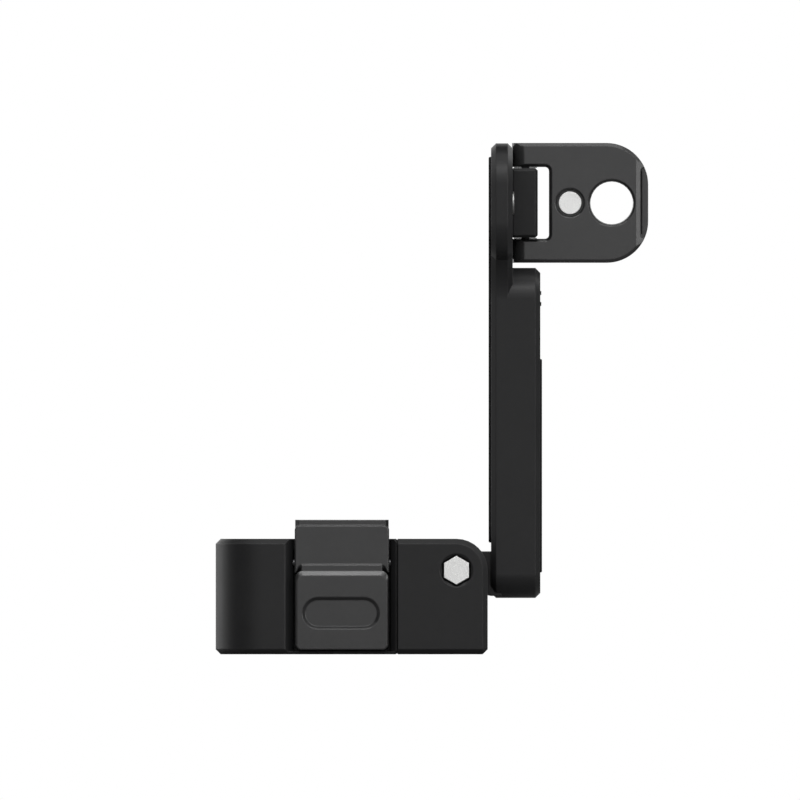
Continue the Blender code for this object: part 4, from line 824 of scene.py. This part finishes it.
def skin_rings(form, rings, name):
    """Joins a row of rings to one closed skin with a cap at each end."""
    for near, far in zip(rings, rings[1:]):
        for side in range(len(near)):
            form.faces.new((near[side - 1], near[side], far[side], far[side - 1]))
    form.faces.new(rings[0])
    form.faces.new(rings[-1])
    bmesh.ops.recalc_face_normals(form, faces=form.faces)
    return new_mesh(form, name)


def wind_spring(node, name):
    """A coil in the space of its solid, from its outer end inwards, with flat end turns."""
    low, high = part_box(node)
    centre = middle(node)
    coil = (high.x - low.x - WIRE) / 2
    outer, inner = sorted((low.y, high.y), key=abs, reverse=True)
    inwards = math.copysign(1, inner - outer)
    start, end = outer + inwards * WIRE / 2, inner - inwards * WIRE / 2
    count = TURNS * STEPS_A_TURN
    form = bmesh.new()
    rings = []
    for i in range(count + 1):
        share = i / count
        climb = min(max((share - CLOSED_SHARE) / (1 - 2 * CLOSED_SHARE), 0), 1)
        flat = min(share / CLOSED_SHARE, 1) + max((share - 1 + CLOSED_SHARE) / CLOSED_SHARE, 0)
        y = start + inwards * CLOSED_PITCH * flat + (end - start - inwards * 2 * CLOSED_PITCH) * climb
        angle = 2 * math.pi * i / STEPS_A_TURN
        out = Vector((math.cos(angle), 0, math.sin(angle)))
        middle_of_wire = Vector((centre.x, y, centre.z)) + out * coil
        ring = []
        for side in range(WIRE_SIDES):
            turn = 2 * math.pi * side / WIRE_SIDES
            spoke = out * math.cos(turn) + Vector((0, math.sin(turn), 0))
            ring.append(form.verts.new(middle_of_wire + spoke * WIRE / 2))
        rings.append(ring)
    return skin_rings(form, rings, name)


for side in ("front", "rear"):
    node, name = side + "_latch_spring", side + "_coil_spring"
    mesh = wind_spring(node, name)
    spring_steel = turned_metal(name + "_steel", node, "Y", "spring_steel")
    coil = add_piece(name, mesh, "seat", spring_steel)
    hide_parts(node)
    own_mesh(coil)

# %% [markdown]
# ## Thrust washers at the tab
# The tab's two ears don't rub on the knuckle: a thin black nylon washer lies in the gap above it
# and another below. They also close the view through those gaps. Each is a flat ring with broken
# rims, so its small profile is turned round the pin's axis.

# %% Lay the thrust washers
WASHER_GAP = 0.0002
WASHER_THICKNESS = 0.00016
WASHER_RADIUS = 0.0023
WASHER_BORE = 0.00095
WASHER_RIM = 0.00003
WASHER_SIDES = 64


def turn_ring(name, axis_x, axis_y, z, bore, radius, thickness, rim):
    """A flat ring round an upright axis, with its rims broken; z is its middle height."""
    half = thickness / 2
    profile = [(bore, -half + rim), (bore + rim, -half), (radius - rim, -half), (radius, -half + rim),
               (radius, half - rim), (radius - rim, half), (bore + rim, half), (bore, half - rim)]
    form = bmesh.new()
    rings = []
    for side in range(WASHER_SIDES):
        angle = 2 * math.pi * side / WASHER_SIDES
        across, along = math.cos(angle), math.sin(angle)
        rings.append([form.verts.new((axis_x + reach * across, axis_y + reach * along, z + lift))
                      for reach, lift in profile])
    for i, ring in enumerate(rings):
        for k, corner in enumerate(ring):
            form.faces.new((rings[i - 1][k - 1], rings[i - 1][k], corner, ring[k - 1]))
    bmesh.ops.recalc_face_normals(form, faces=form.faces)
    return new_mesh(form, name)


pin_low, pin_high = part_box("tab_hinge_pin")
knuckle_low, knuckle_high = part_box("knuckle")
pin_x, pin_y = (pin_low.x + pin_high.x) / 2, (pin_low.y + pin_high.y) / 2
for name, z in (("upper_thrust_washer", knuckle_high.z + WASHER_GAP / 2),
                ("lower_thrust_washer", knuckle_low.z - WASHER_GAP / 2)):
    ring = turn_ring(name, pin_x, pin_y, z, WASHER_BORE, WASHER_RADIUS, WASHER_THICKNESS, WASHER_RIM)
    add_piece(name, ring, "arm", silicone)

# %% [markdown]
# ## The thread in the underside
# The steel insert takes the screw of a tripod. Its thread is a ridge that climbs round the bore,
# a little over four turns of it, and a swept profile with a narrow crest makes it real.

# %% Cut the thread
THREAD_PITCH = 0.00127
THREAD_CREST = 0.00025
THREAD_ROOT = 0.00105
THREAD_HEIGHT = 0.00045
THREAD_SUNK = 0.00005
THREAD_INSET = 0.0007
BORE_RADIUS = 0.0030


def cut_thread():
    """A ridge that climbs round the insert's bore and fades out at both ends."""
    low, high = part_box("tripod_insert")
    centre = middle("tripod_insert")
    length = high.z - low.z - 2 * THREAD_INSET
    count = int(length / THREAD_PITCH * STEPS_A_TURN)
    form = bmesh.new()
    rings = []
    for i in range(count + 1):
        angle = 2 * math.pi * i / STEPS_A_TURN
        z = low.z + THREAD_INSET + length * i / count
        rise = min(i, count - i, STEPS_A_TURN) / STEPS_A_TURN
        out = Vector((math.cos(angle), math.sin(angle), 0))
        wall, crest = BORE_RADIUS + THREAD_SUNK, BORE_RADIUS - THREAD_HEIGHT * rise
        profile = ((wall, -THREAD_ROOT / 2), (crest, -THREAD_CREST / 2),
                   (crest, THREAD_CREST / 2), (wall, THREAD_ROOT / 2))
        rings.append([form.verts.new((centre.x + out.x * reach, centre.y + out.y * reach, z + lift))
                      for reach, lift in profile])
    return skin_rings(form, rings, "tripod_thread")


insert_steel = nodes["tripod_insert"].material_slots[0].material
add_piece("tripod_thread", cut_thread(), "seat", insert_steel)
